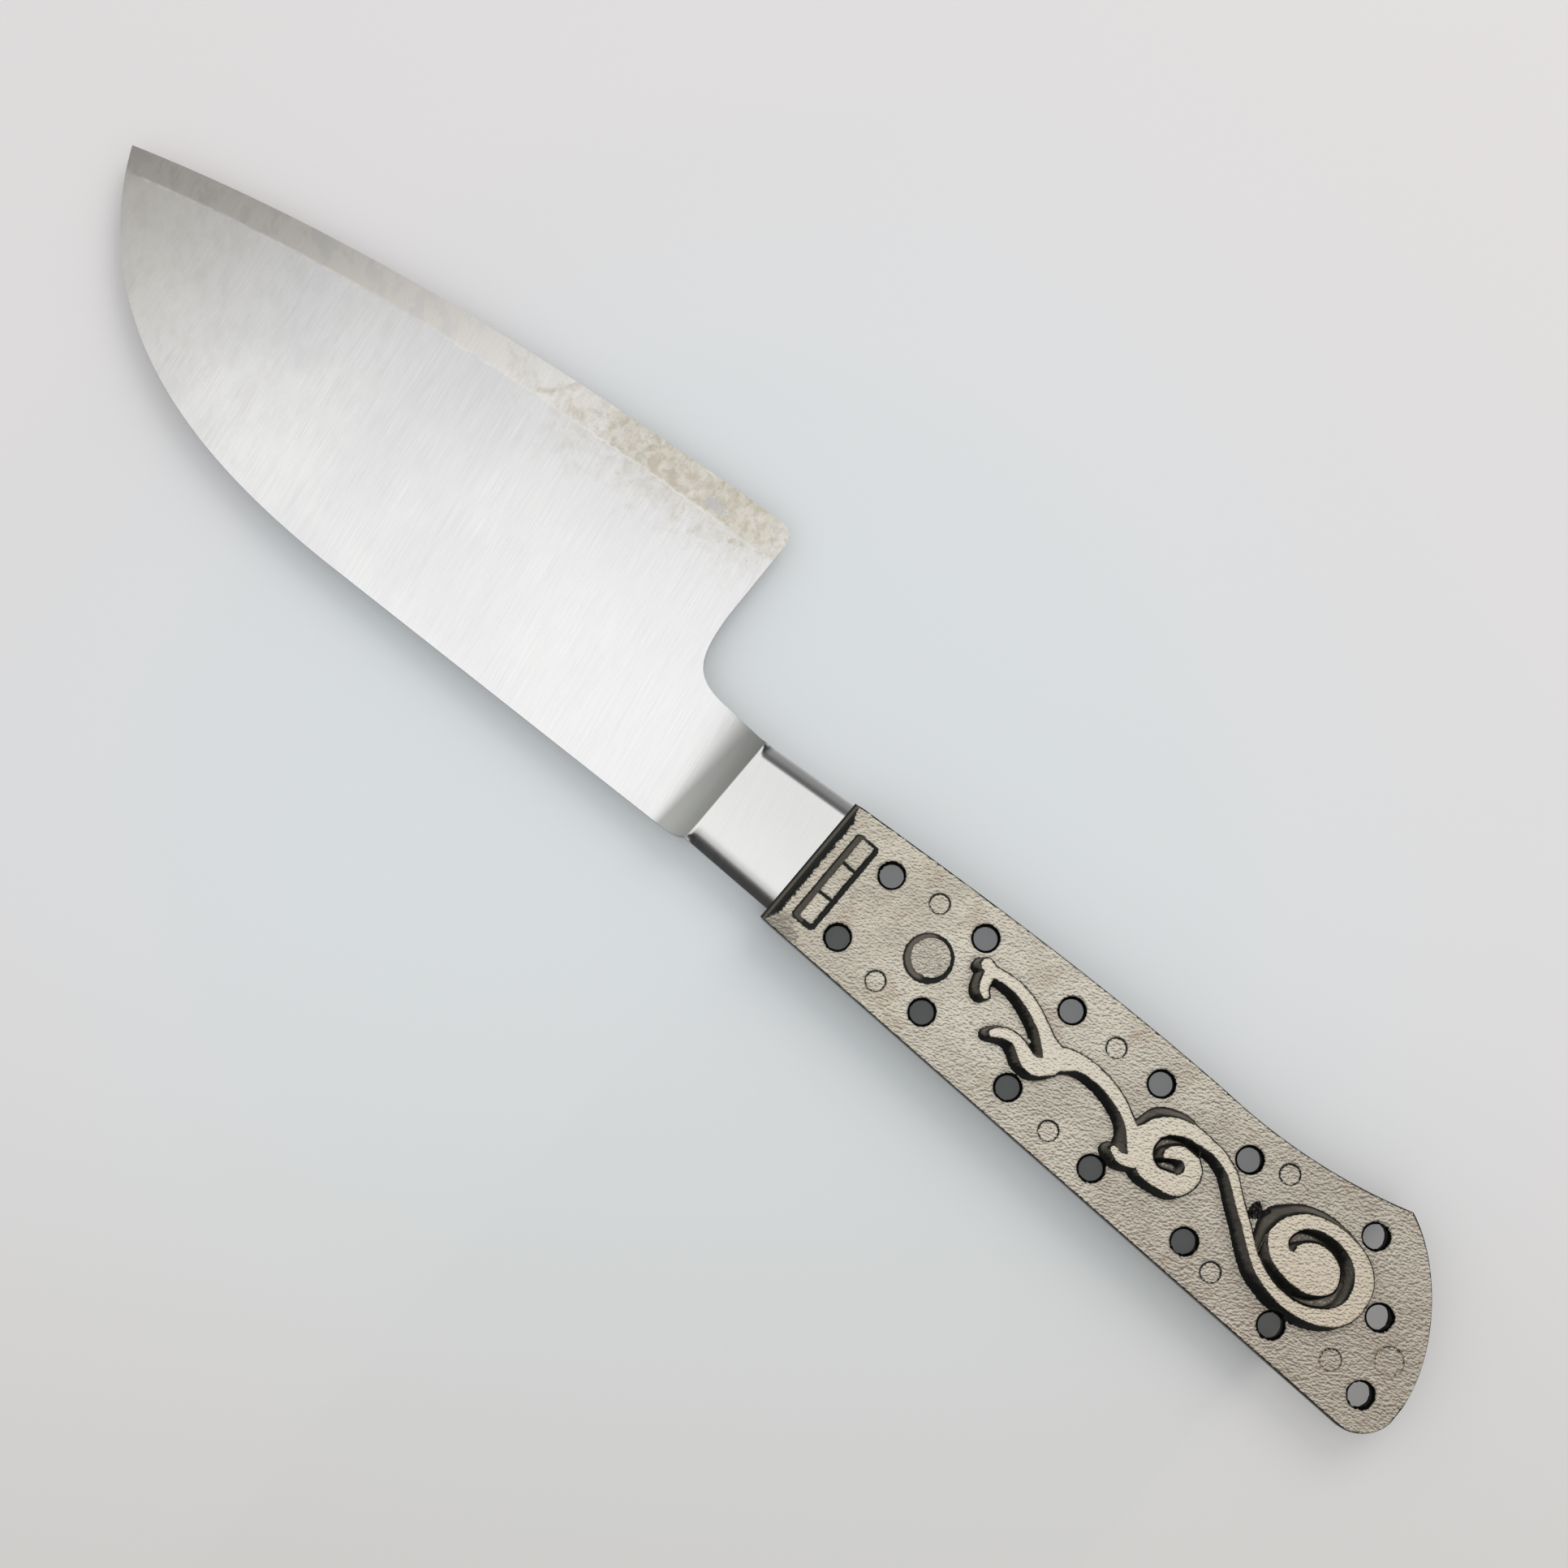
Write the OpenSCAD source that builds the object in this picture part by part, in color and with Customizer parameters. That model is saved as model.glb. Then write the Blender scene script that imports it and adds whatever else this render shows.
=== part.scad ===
/* [Blade] */
// Length from the handle to the tip
blade_l = 161.5; // [130:0.5:200]
// Distance from the handle to the heel
heel_x = 35.5; // [30:0.5:50]
// Height of the heel below the knife's axis
heel_drop = 39.2; // [30:0.1:50]
// Height of the tip below the knife's axis
tip_drop = 19.3; // [12:0.1:25]
// Height of the spine above the axis at its highest
spine_rise = 12.8; // [11.5:0.1:16]
// Distance from the handle to where the spine starts to fall
spine_turn = 91; // [70:1:100]
// Thickness of the blade at the spine, in front of the ramp
spine_t = 2.4; // [1.6:0.1:3.4]
// Thickness of the blade at the spine, near the tip
tip_t = 1.5; // [1:0.1:1.6]
// Thickness of the blade just above the edge bevel
shoulder_t = 0.7; // [0.4:0.05:0.9]
// Thickness left at the cutting edge
edge_t = 0.1; // [0.05:0.01:0.2]
// Width of the edge bevel at the heel
bevel_w = 6; // [4:0.1:8]
// Width of the edge bevel at the tip
bevel_tip_w = 4.6; // [3:0.1:6]
// Radius of the heel's corner
heel_r = 2.8; // [1:0.1:5]

/* [Neck] */
// Length of the neck, from the handle to the ramp
neck_l = 17; // [12:0.5:24]
// Thickness of the neck
neck_t = 4.6; // [3.8:0.1:5]
// Neck's reach towards the spine
neck_spine_w = 10; // [9:0.1:10.5]
// Neck's reach towards the edge, at the ramp
neck_edge_w = 10; // [9:0.1:10.4]
// Extra reach towards the edge, at the handle
neck_flare = 1.3; // [0:0.1:1.5]
// Width of the neck's rounded sides
neck_round = 2; // [1:0.1:3]
// Length of the ramp between blade and neck
ramp_l = 7; // [5:0.5:12]

/* [Handle] */
// Length of the handle
handle_l = 123; // [110:0.5:140]
// Half width of the handle at its front end
front_w = 11.6; // [11.5:0.1:14]
// Half width at the swell on the edge side
swell_w = 13.9; // [13:0.1:16]
// Reach of the beak at the butt, on the edge side
beak_w = 17.9; // [16:0.1:20]
// Half width at the butt, on the spine side
butt_w = 14.4; // [13:0.1:16]
// Thickness of the tang
tang_t = 2.4; // [1.5:0.1:3]
// Thickness of each handle scale
scale_t = 2.1; // [1.6:0.1:3]
// Length of the bevel across the scale's front end
front_bevel_l = 1.5; // [0.5:0.1:2.5]
// Depth of the bevel across the scale's front end
front_bevel_t = 1; // [0.4:0.1:1.5]

/* [Holes] */
// Radius of a hole at the scale's face
hole_face_r = 2.35; // [2:0.05:2.6]
// Radius of a hole at the tang
hole_throat_r = 1.85; // [1.5:0.05:2]
// Distance from the handle's front end to the first holes
hole_first = 11.5; // [11:0.1:14]
// Distance between neighbouring holes in a row
hole_pitch = 17.6; // [15:0.1:20]
// Inset of the hole rows from the handle's sides
hole_inset = 5.7; // [5:0.1:6.5]
// Inset of the butt holes from the butt
butt_hole_inset = 6; // [5:0.1:7]

/* [Pins] */
// Radius of the pins in the rows
pin_r = 1.7; // [1.2:0.05:2]
// Radius of the two wide pins
wide_pin_r = 2.25; // [1.8:0.05:2.4]
// Radial play between a pin and its hole
pin_play = 0.02; // [0.01:0.01:0.05]
// Inset of the pin rows from the handle's sides
pin_inset = 4.5; // [4.3:0.1:6]

/* [Relief] */
// Height of the scroll above the scale's face
scroll_h = 1.1; // [0.5:0.1:1.6]
// Depth of the trough round the bar and of the moat round the disc
recess_d = 1.1; // [0.5:0.1:1.3]
// Distance from the handle's front end to the trough
trough_front = 3.4; // [2:0.1:5]
// Length of the trough
trough_l = 16.8; // [12:0.1:18]
// Width of the trough
trough_w = 4.4; // [3.4:0.1:4.8]
// Corner radius of the trough
trough_r = 0.8; // [0.3:0.1:1.5]
// Width of the gap beside the bar
bar_gap = 1; // [0.5:0.1:1.3]
// Width of the gap at the bar's ends
bar_end_gap = 0.7; // [0.4:0.1:1.5]
// Length of the bar's middle piece
bar_mid_l = 5.3; // [3:0.1:7]
// Width of the cuts that part the bar into three
bar_cut = 0.35; // [0.2:0.05:0.6]
// Distance from the handle's front end to the disc
disc_x = 24.4; // [22:0.1:26]
// Radius of the moat
moat_r = 3.9; // [3.4:0.1:4.2]
// Radius of the disc
disc_r = 3; // [2.2:0.1:3.2]
// Height of the disc and the bar above the scale's face
boss_h = 0.2; // [0:0.05:0.5]

/* [Hidden] */
$fn = 48;

// The knife lies on its back scale, blade towards +X and cutting edge towards -Y.
handle_t = 2 * scale_t + tang_t;
mid_z = handle_t / 2;
front_x = handle_l / 2;
steel = [0.84, 0.84, 0.83];
cast = [0.72, 0.69, 0.62];
pin_steel = [0.66, 0.63, 0.57];
eps = 0.01;
big = 400;

// Cubic curves through four handles, and smooth lines through hand-chosen knots
function cubic(p, t) = pow(1 - t, 3) * p[0] + 3 * pow(1 - t, 2) * t * p[1]
    + 3 * (1 - t) * t * t * p[2] + pow(t, 3) * p[3];
function curve(p, n) = [for (i = [0:n - 1]) cubic(p, i / n)];
function knot(k, i) = k[max(0, min(len(k) - 1, i))];
function smooth(k, i, t) = 0.5 * (2 * knot(k, i) + t * (knot(k, i + 1) - knot(k, i - 1))
    + t * t * (2 * knot(k, i - 1) - 5 * knot(k, i) + 4 * knot(k, i + 1) - knot(k, i + 2))
    + pow(t, 3) * (3 * knot(k, i) - knot(k, i - 1) - 3 * knot(k, i + 1) + knot(k, i + 2)));
function fair(k, n) = concat(
    [for (i = [0:len(k) - 2], j = [0:n - 1]) smooth(k, i, j / n)], [k[len(k) - 1]]);
function arc(c, r, a0, a1, n) = [for (i = [0:n]) c + r * [cos(a0 + (a1 - a0) * i / n), sin(a0 + (a1 - a0) * i / n)]];

// Sides of the handle, as distance behind its front end and distance from the axis
swell_s = 0.59 * handle_l;
beak_s = handle_l - 17;
butt_s = handle_l - 5;
side_front = [[0, front_w], [0.2 * handle_l, 13.3 + swell_w - 13.9], [0.4 * handle_l, swell_w + 0.7], [swell_s, swell_w]];
side_rear = [[swell_s, swell_w], [swell_s + 11, swell_w - 0.7], [beak_s - 11, beak_w - 3.5], [beak_s, beak_w]];
butt_curve = [[beak_s, -beak_w], [beak_s + 8.5, -beak_w + 3.6], [handle_l + 0.7, -1.8], [handle_l, 8.8]];
butt_corner = [[handle_l, 8.8], [handle_l - 0.2, 11.8], [butt_s + 2.2, butt_w - 0.4], [butt_s, butt_w]];

// Half width of the handle on one side at a distance behind its front end
function along(c, s, a, b, n) = n == 0 ? cubic(c, (a + b) / 2)[1]
    : cubic(c, (a + b) / 2)[0] < s ? along(c, s, (a + b) / 2, b, n - 1) : along(c, s, a, (a + b) / 2, n - 1);
function edge_side(s) = s < swell_s ? along(side_front, s, 0, 1, 20) : along(side_rear, s, 0, 1, 20);
function spine_side(s) = front_w + (butt_w - front_w) * s / butt_s;

function to_x(p) = [for (q = p) [front_x - q[0], q[1]]];
function flip_y(p) = [for (q = p) [q[0], -q[1]]];

module handle_outline() {
    polygon(to_x(concat(
        flip_y(curve(side_front, 16)),
        flip_y(curve(side_rear, 12)),
        curve(butt_curve, 20),
        curve(butt_corner, 8),
        [[butt_s, butt_w], [0, front_w]]
    )));
}

// Holes that go right through the handle: a row along each side and three round the butt.
// Each cast hole wanders a little: along its row, and outwards to clear the scroll.
edge_wander = [[0.2, -0.2], [0.1, 0.7], [-0.1, 0], [0, 0], [0.1, 0]];
spine_wander = [[-0.1, 0.2], [-0.2, 0.3], [-0.2, 0.3], [-0.1, 1.2], [0.2, 0.2], [0.6, 1.1]];
edge_row_last = 32;
spine_row_last = 17;
edge_holes = floor((handle_l - hole_first - edge_row_last) / hole_pitch);
spine_holes = floor((handle_l - hole_first - spine_row_last) / hole_pitch);
function hole_s(i) = hole_first + hole_pitch * i;
function wander(w, i) = i < len(w) ? w[i] : [0, 0];
function edge_spot(s, inset) = [s, inset - edge_side(s)];
function spine_spot(s, inset) = [s, spine_side(s) - inset];
function edge_hole(i, w) = edge_spot(hole_s(i) + w[0], hole_inset - w[1]);
function spine_hole(i, w) = spine_spot(hole_s(i) + w[0], hole_inset - w[1]);
hole_spots = concat(
    [for (i = [0:edge_holes]) edge_hole(i, wander(edge_wander, i))],
    [for (i = [0:spine_holes]) spine_hole(i, wander(spine_wander, i))],
    [[handle_l - butt_hole_inset - 13, -11.4], [handle_l - butt_hole_inset - 5, -2.2]]
);
hang_spot = [handle_l - butt_hole_inset, 8.7];

// Pins stand between the holes of each row; two wide ones sit behind the trough and at the butt
function pin_pair(k, edge_out, spine_out) = [
    edge_spot(hole_s(k), pin_inset - edge_out),
    spine_spot(hole_s(k), pin_inset - spine_out)
];
front_pin_spots = pin_pair(0.5, -0.5, 0.2);
middle_pin_spots = pin_pair(2.5, -1.4, 0);
rear_pin_spots = pin_pair(3.5, 0.7, 0.5);
tail_pin_spots = pin_pair(4.35, 0.6, -0.1);
butt_pin_spots = [[handle_l - 12.8, 7.5]];
bolster_pin_spots = [[hole_first - 0.3, -0.3]];
wide_butt_pin_spots = [[handle_l - 5.8, 2]];
pin_spots = concat(front_pin_spots, middle_pin_spots, rear_pin_spots, tail_pin_spots, butt_pin_spots);
wide_pin_spots = concat(bolster_pin_spots, wide_butt_pin_spots);

module at(spots) {
    for (p = spots) translate([front_x - p[0], p[1], 0]) children();
}

module pin_holes() {
    at(pin_spots) cylinder(r = pin_r + pin_play, h = big, center = true);
    at(wide_pin_spots) cylinder(r = wide_pin_r + pin_play, h = big, center = true);
}

module pins(spots, r) {
    color(pin_steel) at(spots) cylinder(r = r, h = handle_t);
}

// Outline of blade and neck, as distance in front of the handle and distance from the axis
tip = [blade_l, -tip_drop];
heel_end = [heel_x + heel_r, -heel_drop];
spine_shoulder = [neck_l + 4, neck_spine_w + 0.7];
choil_top = [neck_l + 8.5, -neck_edge_w - 0.5];
spine_curve = [[spine_turn, spine_rise], [spine_turn + 28.7, spine_rise + 0.5], tip + [-14.1, 27.2], tip];
edge_curve = [tip, tip + [-39.5, -12.4], heel_end + [42, 2.8], heel_end];
choil_curve = [
    [heel_x - 0.4, -22], [heel_x - 1.1, -13.5], [heel_x - 2.5, choil_top[1] - 0.2], choil_top
];
blade_outline = concat(
    [[-eps, neck_spine_w], [neck_l + 0.8, neck_spine_w - 0.3]],
    curve([[neck_l + 0.8, neck_spine_w - 0.3], [neck_l + 1.4, neck_spine_w + 0.3],
        spine_shoulder + [-1.5, -0.1], spine_shoulder], 6),
    [spine_shoulder],
    curve(spine_curve, 28),
    curve(edge_curve, 28),
    arc(heel_end + [0, heel_r], heel_r, 270, 180, 8),
    curve(choil_curve, 14),
    [choil_top, [neck_l + 1.2, -neck_edge_w], [-eps, -neck_edge_w - neck_flare]]
);

// Half thickness of the steel. The flat grind falls from the spine to the bevel's shoulder,
// the bevel falls on to the edge, and the ramp adds a hollow rise towards the neck.
stations = concat(
    [-eps, neck_l - eps],
    [for (i = [0:8]) neck_l + ramp_l * i / 8],
    [for (i = [1:6]) neck_l + ramp_l + (heel_x + heel_r - neck_l - ramp_l) * i / 6],
    [for (i = [1:28]) cubic(edge_curve, 1 - i / 28)[0]],
    [blade_l + 2]
);
function edge_at(x, a, b, n) = n == 0 ? cubic(edge_curve, (a + b) / 2)[1]
    : cubic(edge_curve, (a + b) / 2)[0] > x ? edge_at(x, (a + b) / 2, b, n - 1) : edge_at(x, a, (a + b) / 2, n - 1);
function edge_y(x) = x < heel_end[0] ? -heel_drop : x > blade_l ? -tip_drop : edge_at(x, 0, 1, 20);
function taper(x) = max(0, min(1, (x - neck_l - ramp_l) / (blade_l - neck_l - ramp_l)));
function bevel(x) = bevel_w + (bevel_tip_w - bevel_w) * taper(x);
function spine_half(x) = (spine_t + (tip_t - spine_t) * taper(x)) / 2;
function grind_half(x, y) =
    spine_half(x) + (shoulder_t / 2 - spine_half(x))
        * max(0, (spine_rise - y) / (spine_rise - edge_y(x) - bevel(x)));
function ramp_share(x) = pow(max(0, min(1, 1 - (x - neck_l) / ramp_l)), 1.6);
function blade_half(x, y) = grind_half(x, y) + (neck_t / 2 - grind_half(x, y)) * ramp_share(x);
function blade_row(x) = [
    [x, spine_rise + 3, spine_half(x) + (neck_t / 2 - spine_half(x)) * ramp_share(x)],
    [x, spine_rise, blade_half(x, spine_rise)],
    [x, 8, blade_half(x, 8)],
    [x, 0, blade_half(x, 0)],
    [x, -8, blade_half(x, -8)],
    [x, -12.5, blade_half(x, -12.5)],
    [x, edge_y(x) + bevel(x), blade_half(x, edge_y(x) + bevel(x))],
    [x, edge_y(x), edge_t / 2 + (neck_t / 2 - edge_t / 2) * ramp_share(x)],
    [x, edge_y(x) - 3, edge_t / 2 + (neck_t / 2 - edge_t / 2) * ramp_share(x)]
];
function neck_row(x, e) = [
    [x, neck_spine_w + 1, 0.35 * neck_t / 2],
    [x, neck_spine_w, 0.5 * neck_t / 2],
    [x, neck_spine_w - 0.35 * neck_round, 0.82 * neck_t / 2],
    [x, neck_spine_w - neck_round, neck_t / 2],
    [x, 0, neck_t / 2],
    [x, -e + neck_round, neck_t / 2],
    [x, -e + 0.35 * neck_round, 0.82 * neck_t / 2],
    [x, -e, 0.5 * neck_t / 2],
    [x, -e - 1, 0.35 * neck_t / 2]
];
rows = concat(
    [neck_row(stations[0], neck_edge_w + neck_flare), neck_row(stations[1], neck_edge_w)],
    [for (i = [2:len(stations) - 1]) blade_row(stations[i])]
);
cols = len(rows[0]);

// Closed skin over both faces of the rows
module steel_skin() {
    n = len(rows);
    top = [for (r = rows, p = r) p];
    low = [for (p = top) [p[0], p[1], -p[2]]];
    m = n * cols;
    faces = concat(
        [for (i = [0:n - 2], j = [0:cols - 2], k = [0, 1])
            let (a = i * cols + j, b = a + cols)
            k == 0 ? [a, b + 1, a + 1] : [a, b, b + 1]],
        [for (i = [0:n - 2], j = [0:cols - 2], k = [0, 1])
            let (a = m + i * cols + j, b = a + cols)
            k == 0 ? [a, a + 1, b + 1] : [a, b + 1, b]],
        [for (i = [0:n - 2], j = [0, cols - 1], k = [0, 1])
            let (a = i * cols + j, b = a + cols, c = m + a, d = m + b)
            j == 0 ? (k == 0 ? [a, d, b] : [a, c, d]) : (k == 0 ? [a, b, d] : [a, d, c])],
        [for (e = [0, n - 1], j = [0:cols - 2], k = [0, 1])
            let (a = e * cols + j, c = m + a)
            e == 0 ? (k == 0 ? [a, a + 1, c + 1] : [a, c + 1, c]) : (k == 0 ? [a, c + 1, a + 1] : [a, c, c + 1])]
    );
    polyhedron(points = concat(top, low), faces = faces, convexity = 6);
}

module tang() {
    root_l = 4;
    linear_extrude(tang_t) handle_outline();
    translate([front_x - root_l, -0.7 * neck_edge_w, 0]) cube([2 * root_l, 1.4 * neck_edge_w, tang_t]);
}

module blade() {
    color(steel) difference() {
        union() {
            translate([front_x, 0, mid_z]) intersection() {
                steel_skin();
                linear_extrude(big, center = true) polygon(blade_outline);
            }
            translate([0, 0, scale_t]) tang();
        }
        at(concat(hole_spots, [hang_spot])) cylinder(r = hole_throat_r, h = big, center = true);
        pin_holes();
    }
}

// One plain scale, face up, from the tang's face at z = 0
module plain_scale() {
    difference() {
        intersection() {
            linear_extrude(scale_t) handle_outline();
            rotate([90, 0, 0]) linear_extrude(big, center = true) polygon([
                [-handle_l, 0], [front_x, 0], [front_x, scale_t - front_bevel_t],
                [front_x - front_bevel_l, scale_t], [-handle_l, scale_t]
            ]);
        }
        at(concat(hole_spots, [hang_spot])) translate([0, 0, -eps])
            cylinder(r1 = hole_throat_r, r2 = hole_face_r, h = scale_t + 2 * eps);
        pin_holes();
    }
}

// The scroll, drawn as strokes: distance behind the handle's front end, height, width
head_stroke = [
    [49, -1, 3.4], [47, -2, 2.3], [45, -3.2, 1.75], [42.5, -4.4, 1.75], [40, -5.2, 1.65],
    [37.5, -5.55, 1.6], [35, -5.35, 1.5], [33.3, -5, 1.7], [32, -5.3, 1.75]
];
hook_stroke = [[33.2, -4.6, 1.6], [33.5, -3.2, 1.5], [34.1, -1.95, 1.3], [34.9, -1.45, 0.9]];
bud_stroke = [
    [49.5, 0.5, 2.8], [48, 1.95, 2.7], [46.3, 2.15, 2.4], [44.8, 1.5, 2], [43, 0.85, 1.5],
    [41.3, 1.05, 1.5], [40.2, 1.65, 1.45], [39.4, 2.3, 1.1]
];
stem_stroke = [
    [66.5, 1, 2.4], [65, -0.1, 1.7], [63, -1.25, 1.5], [61, -2.1, 1.7], [58, -2.85, 1.85],
    [55, -3, 2.1], [52.5, -2.65, 2.5], [50.5, -1.6, 3.4], [49.3, -0.5, 3.4]
];
leaf_stroke = [[68.5, 3.4, 2.2], [67, 4.4, 1.7], [65.8, 4.4, 1.2], [64.9, 4.1, 0.9]];
link_stroke = [
    [72, -5.5, 2.2], [73.5, -5.7, 2], [77.5, -5.75, 1.5], [79.5, -5.25, 1.4], [81.4, -4.5, 1.35],
    [84, -2.5, 1.25], [85.5, -1.4, 1.25], [88.2, 0.5, 1.2], [90.8, 2.5, 1.2], [93.4, 4, 1.4],
    [96, 4.85, 1.4], [98.7, 5.2, 1.6]
];
strokes = [head_stroke, hook_stroke, bud_stroke, stem_stroke, leaf_stroke, link_stroke];

// Rims of the two curls, and the grooves that wind into them
curl_rim = [
    [69.2, 4.1], [71, 4.7], [74, 4.4], [76.5, 3.6], [77.7, 2], [78, 0], [77.4, -1.8], [76, -3],
    [75, -4.5], [74.5, -6], [72.5, -6.6], [70, -6], [68, -4.8], [66.7, -3.2], [66, -1.6], [65.5, -0.5],
    [65.4, 0.8], [66, 2.2], [67.5, 3.5]
];
volute_rim = [
    [92.2, 3.2], [93.8, 4.5], [96, 5.5], [99, 6.05], [103, 5.6], [106.4, 4.2], [108.6, 1.8],
    [109.2, -1.3], [108.3, -5], [105, -7.9], [99.5, -8.8], [94.6, -7.7], [91.8, -5], [91, -2],
    [91.3, 0.2]
];
curl_groove = [
    [77.5, -3.7, 1.8], [76.2, -3.9, 1.8], [74.5, -4, 1.7], [72.3, -3.6, 1.5], [70.6, -2.2, 1.9],
    [70.2, -0.6, 1.9], [71, 0.8, 1.7], [72.2, 0.95, 1.9], [73.2, 0.4, 2.2], [74.1, 0, 2.4]
];
volute_groove = [
    [89.2, -1.5, 3], [91, 0.8, 2.4], [93, 2.3, 2.2], [95.5, 3.1, 1.95], [98.7, 3.45, 1.95],
    [101.4, 3.05, 2], [103.7, 1.8, 2.1], [105, 0.1, 2.3], [105.2, -1.5, 2.4], [104.4, -3.6, 2.4],
    [102.7, -5.2, 2.2], [100.2, -5.95, 2], [97.6, -5.7, 2.1], [95.6, -4.5, 2.2], [94.8, -2.8, 1.8],
    [95.2, -1.8, 1.2]
];
scroll_k = (handle_l - 13) / 110;

// The disc and the bar sit a little towards the edge in their recesses
moat_spot = [disc_x, -0.2];
disc_spot = [disc_x + 0.2, -0.5];
bar_y = -0.25;

function ring(k, i, t) = let (n = len(k)) smooth([for (j = [-1:2]) k[(i + j + n) % n]], 1, t);
function fair_ring(k, n) = [for (i = [0:len(k) - 1], j = [0:n - 1]) ring(k, i, j / n)];
function side_of(p, i, s) =
    let (a = p[max(0, i - 1)], b = p[min(len(p) - 1, i + 1)], d = [b[0] - a[0], b[1] - a[1]])
    [p[i][0], p[i][1]] + s * p[i][2] / 2 * [-d[1], d[0]] / norm(d);
function heading(a, b) = atan2(b[1] - a[1], b[0] - a[0]);
function cap(q, a) = [for (i = [1:5]) [q[0], q[1]] + q[2] / 2 * [cos(a - 30 * i), sin(a - 30 * i)]];
function stroke_outline(p) = concat(
    [for (i = [0:len(p) - 1]) side_of(p, i, 1)],
    cap(p[len(p) - 1], heading(p[len(p) - 2], p[len(p) - 1]) + 90),
    [for (i = [len(p) - 1:-1:0]) side_of(p, i, -1)],
    cap(p[0], heading(p[0], p[1]) - 90)
);

module stroke(k) {
    polygon(to_x([for (q = stroke_outline(fair(k, 4))) q * scroll_k]));
}

module curl(rim, groove) {
    difference() {
        polygon(to_x([for (q = fair_ring(rim, 3)) q * scroll_k]));
        stroke(groove);
    }
}

module scroll_plan() {
    for (k = strokes) stroke(k);
    curl(curl_rim, curl_groove);
    curl(volute_rim, volute_groove);
}

module trough_plan(l, w, r) {
    for (x = [-1, 1], y = [-1, 1]) translate([x * (w / 2 - r), y * (l / 2 - r)]) circle(r = r, $fn = 24);
    square([w - 2 * r, l], center = true);
    square([w, l - 2 * r], center = true);
}

module bar_plan() {
    bar_l = trough_l - 2 * bar_end_gap;
    bar_w = trough_w - 2 * bar_gap;
    end_l = (bar_l - bar_mid_l) / 2 - bar_cut;
    square([bar_w, bar_mid_l], center = true);
    for (y = [-1, 1]) translate([0, y * (bar_l - end_l) / 2]) square([bar_w, end_l], center = true);
}

module front_scale() {
    floor_z = scale_t - recess_d;
    root_z = floor_z / 2;
    trough_x = front_x - trough_front - trough_w / 2;
    color(cast) translate([0, 0, scale_t + tang_t]) {
        difference() {
            plain_scale();
            translate([trough_x, 0, floor_z]) linear_extrude(scale_t) trough_plan(trough_l, trough_w, trough_r);
            at([moat_spot]) translate([0, 0, floor_z]) cylinder(r = moat_r, h = scale_t);
        }
        at([disc_spot]) translate([0, 0, root_z]) cylinder(r = disc_r, h = scale_t + boss_h - root_z);
        translate([trough_x, bar_y, root_z]) linear_extrude(scale_t + boss_h - root_z) bar_plan();
        translate([0, 0, root_z]) linear_extrude(scale_t + scroll_h - root_z) scroll_plan();
    }
}

module back_scale() {
    color(cast) translate([0, 0, scale_t]) mirror([0, 0, 1]) plain_scale();
}

module bolster_pin() { pins(bolster_pin_spots, wide_pin_r); }
module front_pins() { pins(front_pin_spots, pin_r); }
module middle_pins() { pins(middle_pin_spots, pin_r); }
module rear_pins() { pins(rear_pin_spots, pin_r); }
module tail_pins() { pins(tail_pin_spots, pin_r); }
module butt_pin() { pins(butt_pin_spots, pin_r); }
module wide_butt_pin() { pins(wide_butt_pin_spots, wide_pin_r); }

blade();
front_scale();
back_scale();
bolster_pin();
front_pins();
middle_pins();
rear_pins();
tail_pins();
butt_pin();
wide_butt_pin();
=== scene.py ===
import math
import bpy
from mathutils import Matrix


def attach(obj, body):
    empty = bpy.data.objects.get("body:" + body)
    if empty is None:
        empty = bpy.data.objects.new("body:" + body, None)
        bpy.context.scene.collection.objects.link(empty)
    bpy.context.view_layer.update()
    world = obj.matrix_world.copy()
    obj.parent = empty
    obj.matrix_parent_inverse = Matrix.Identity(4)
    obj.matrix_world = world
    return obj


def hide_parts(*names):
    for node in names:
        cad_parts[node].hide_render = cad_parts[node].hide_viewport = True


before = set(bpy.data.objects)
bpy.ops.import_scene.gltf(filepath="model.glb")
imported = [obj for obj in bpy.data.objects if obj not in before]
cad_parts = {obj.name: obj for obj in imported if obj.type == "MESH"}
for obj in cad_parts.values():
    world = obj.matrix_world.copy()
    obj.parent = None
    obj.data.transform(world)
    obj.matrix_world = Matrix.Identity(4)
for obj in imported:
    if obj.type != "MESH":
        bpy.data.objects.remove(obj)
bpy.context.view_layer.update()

from types import SimpleNamespace

import bmesh
import bpy
import numpy as np
from mathutils import Matrix, Vector

# All measures below are in millimetres unless a note says otherwise
mm = 0.001

handle = dict(
    length=123.0, halfFront=11.6, swell=13.9, beak=17.9, halfButt=14.4,
    faceZ=6.6, tangTop=4.5, tangLow=2.1, frontX=61.5,
    bevelLength=1.5, bevelDrop=1.0,
    skin=0.04,  # how far the casting's ground lies under the face of its solid
)
# where the swell, the beak and the butt's round corner are, behind the front end
swellS, beakS, buttS = 0.59 * handle["length"], handle["length"] - 17, handle["length"] - 5


# Curves

def cubic(p, t):
    # a cubic curve from the first of four points to the last, drawn towards the two between
    p, t = np.asarray(p, float), np.asarray(t, float)[:, None]
    return (1 - t) ** 3 * p[0] + 3 * (1 - t) ** 2 * t * p[1] + 3 * (1 - t) * t * t * p[2] + t ** 3 * p[3]


def fair(knots, steps):
    # a smooth line through knots: each span is the cubic set by its two ends and their neighbours
    k = np.asarray(knots, float)
    a, b, c, d = k[np.r_[0, 0:len(k) - 2]], k[:-1], k[1:], k[np.r_[2:len(k), len(k) - 1]]
    return np.vstack([smoothSpans(a, b, c, d, steps), k[-1:]])


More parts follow.
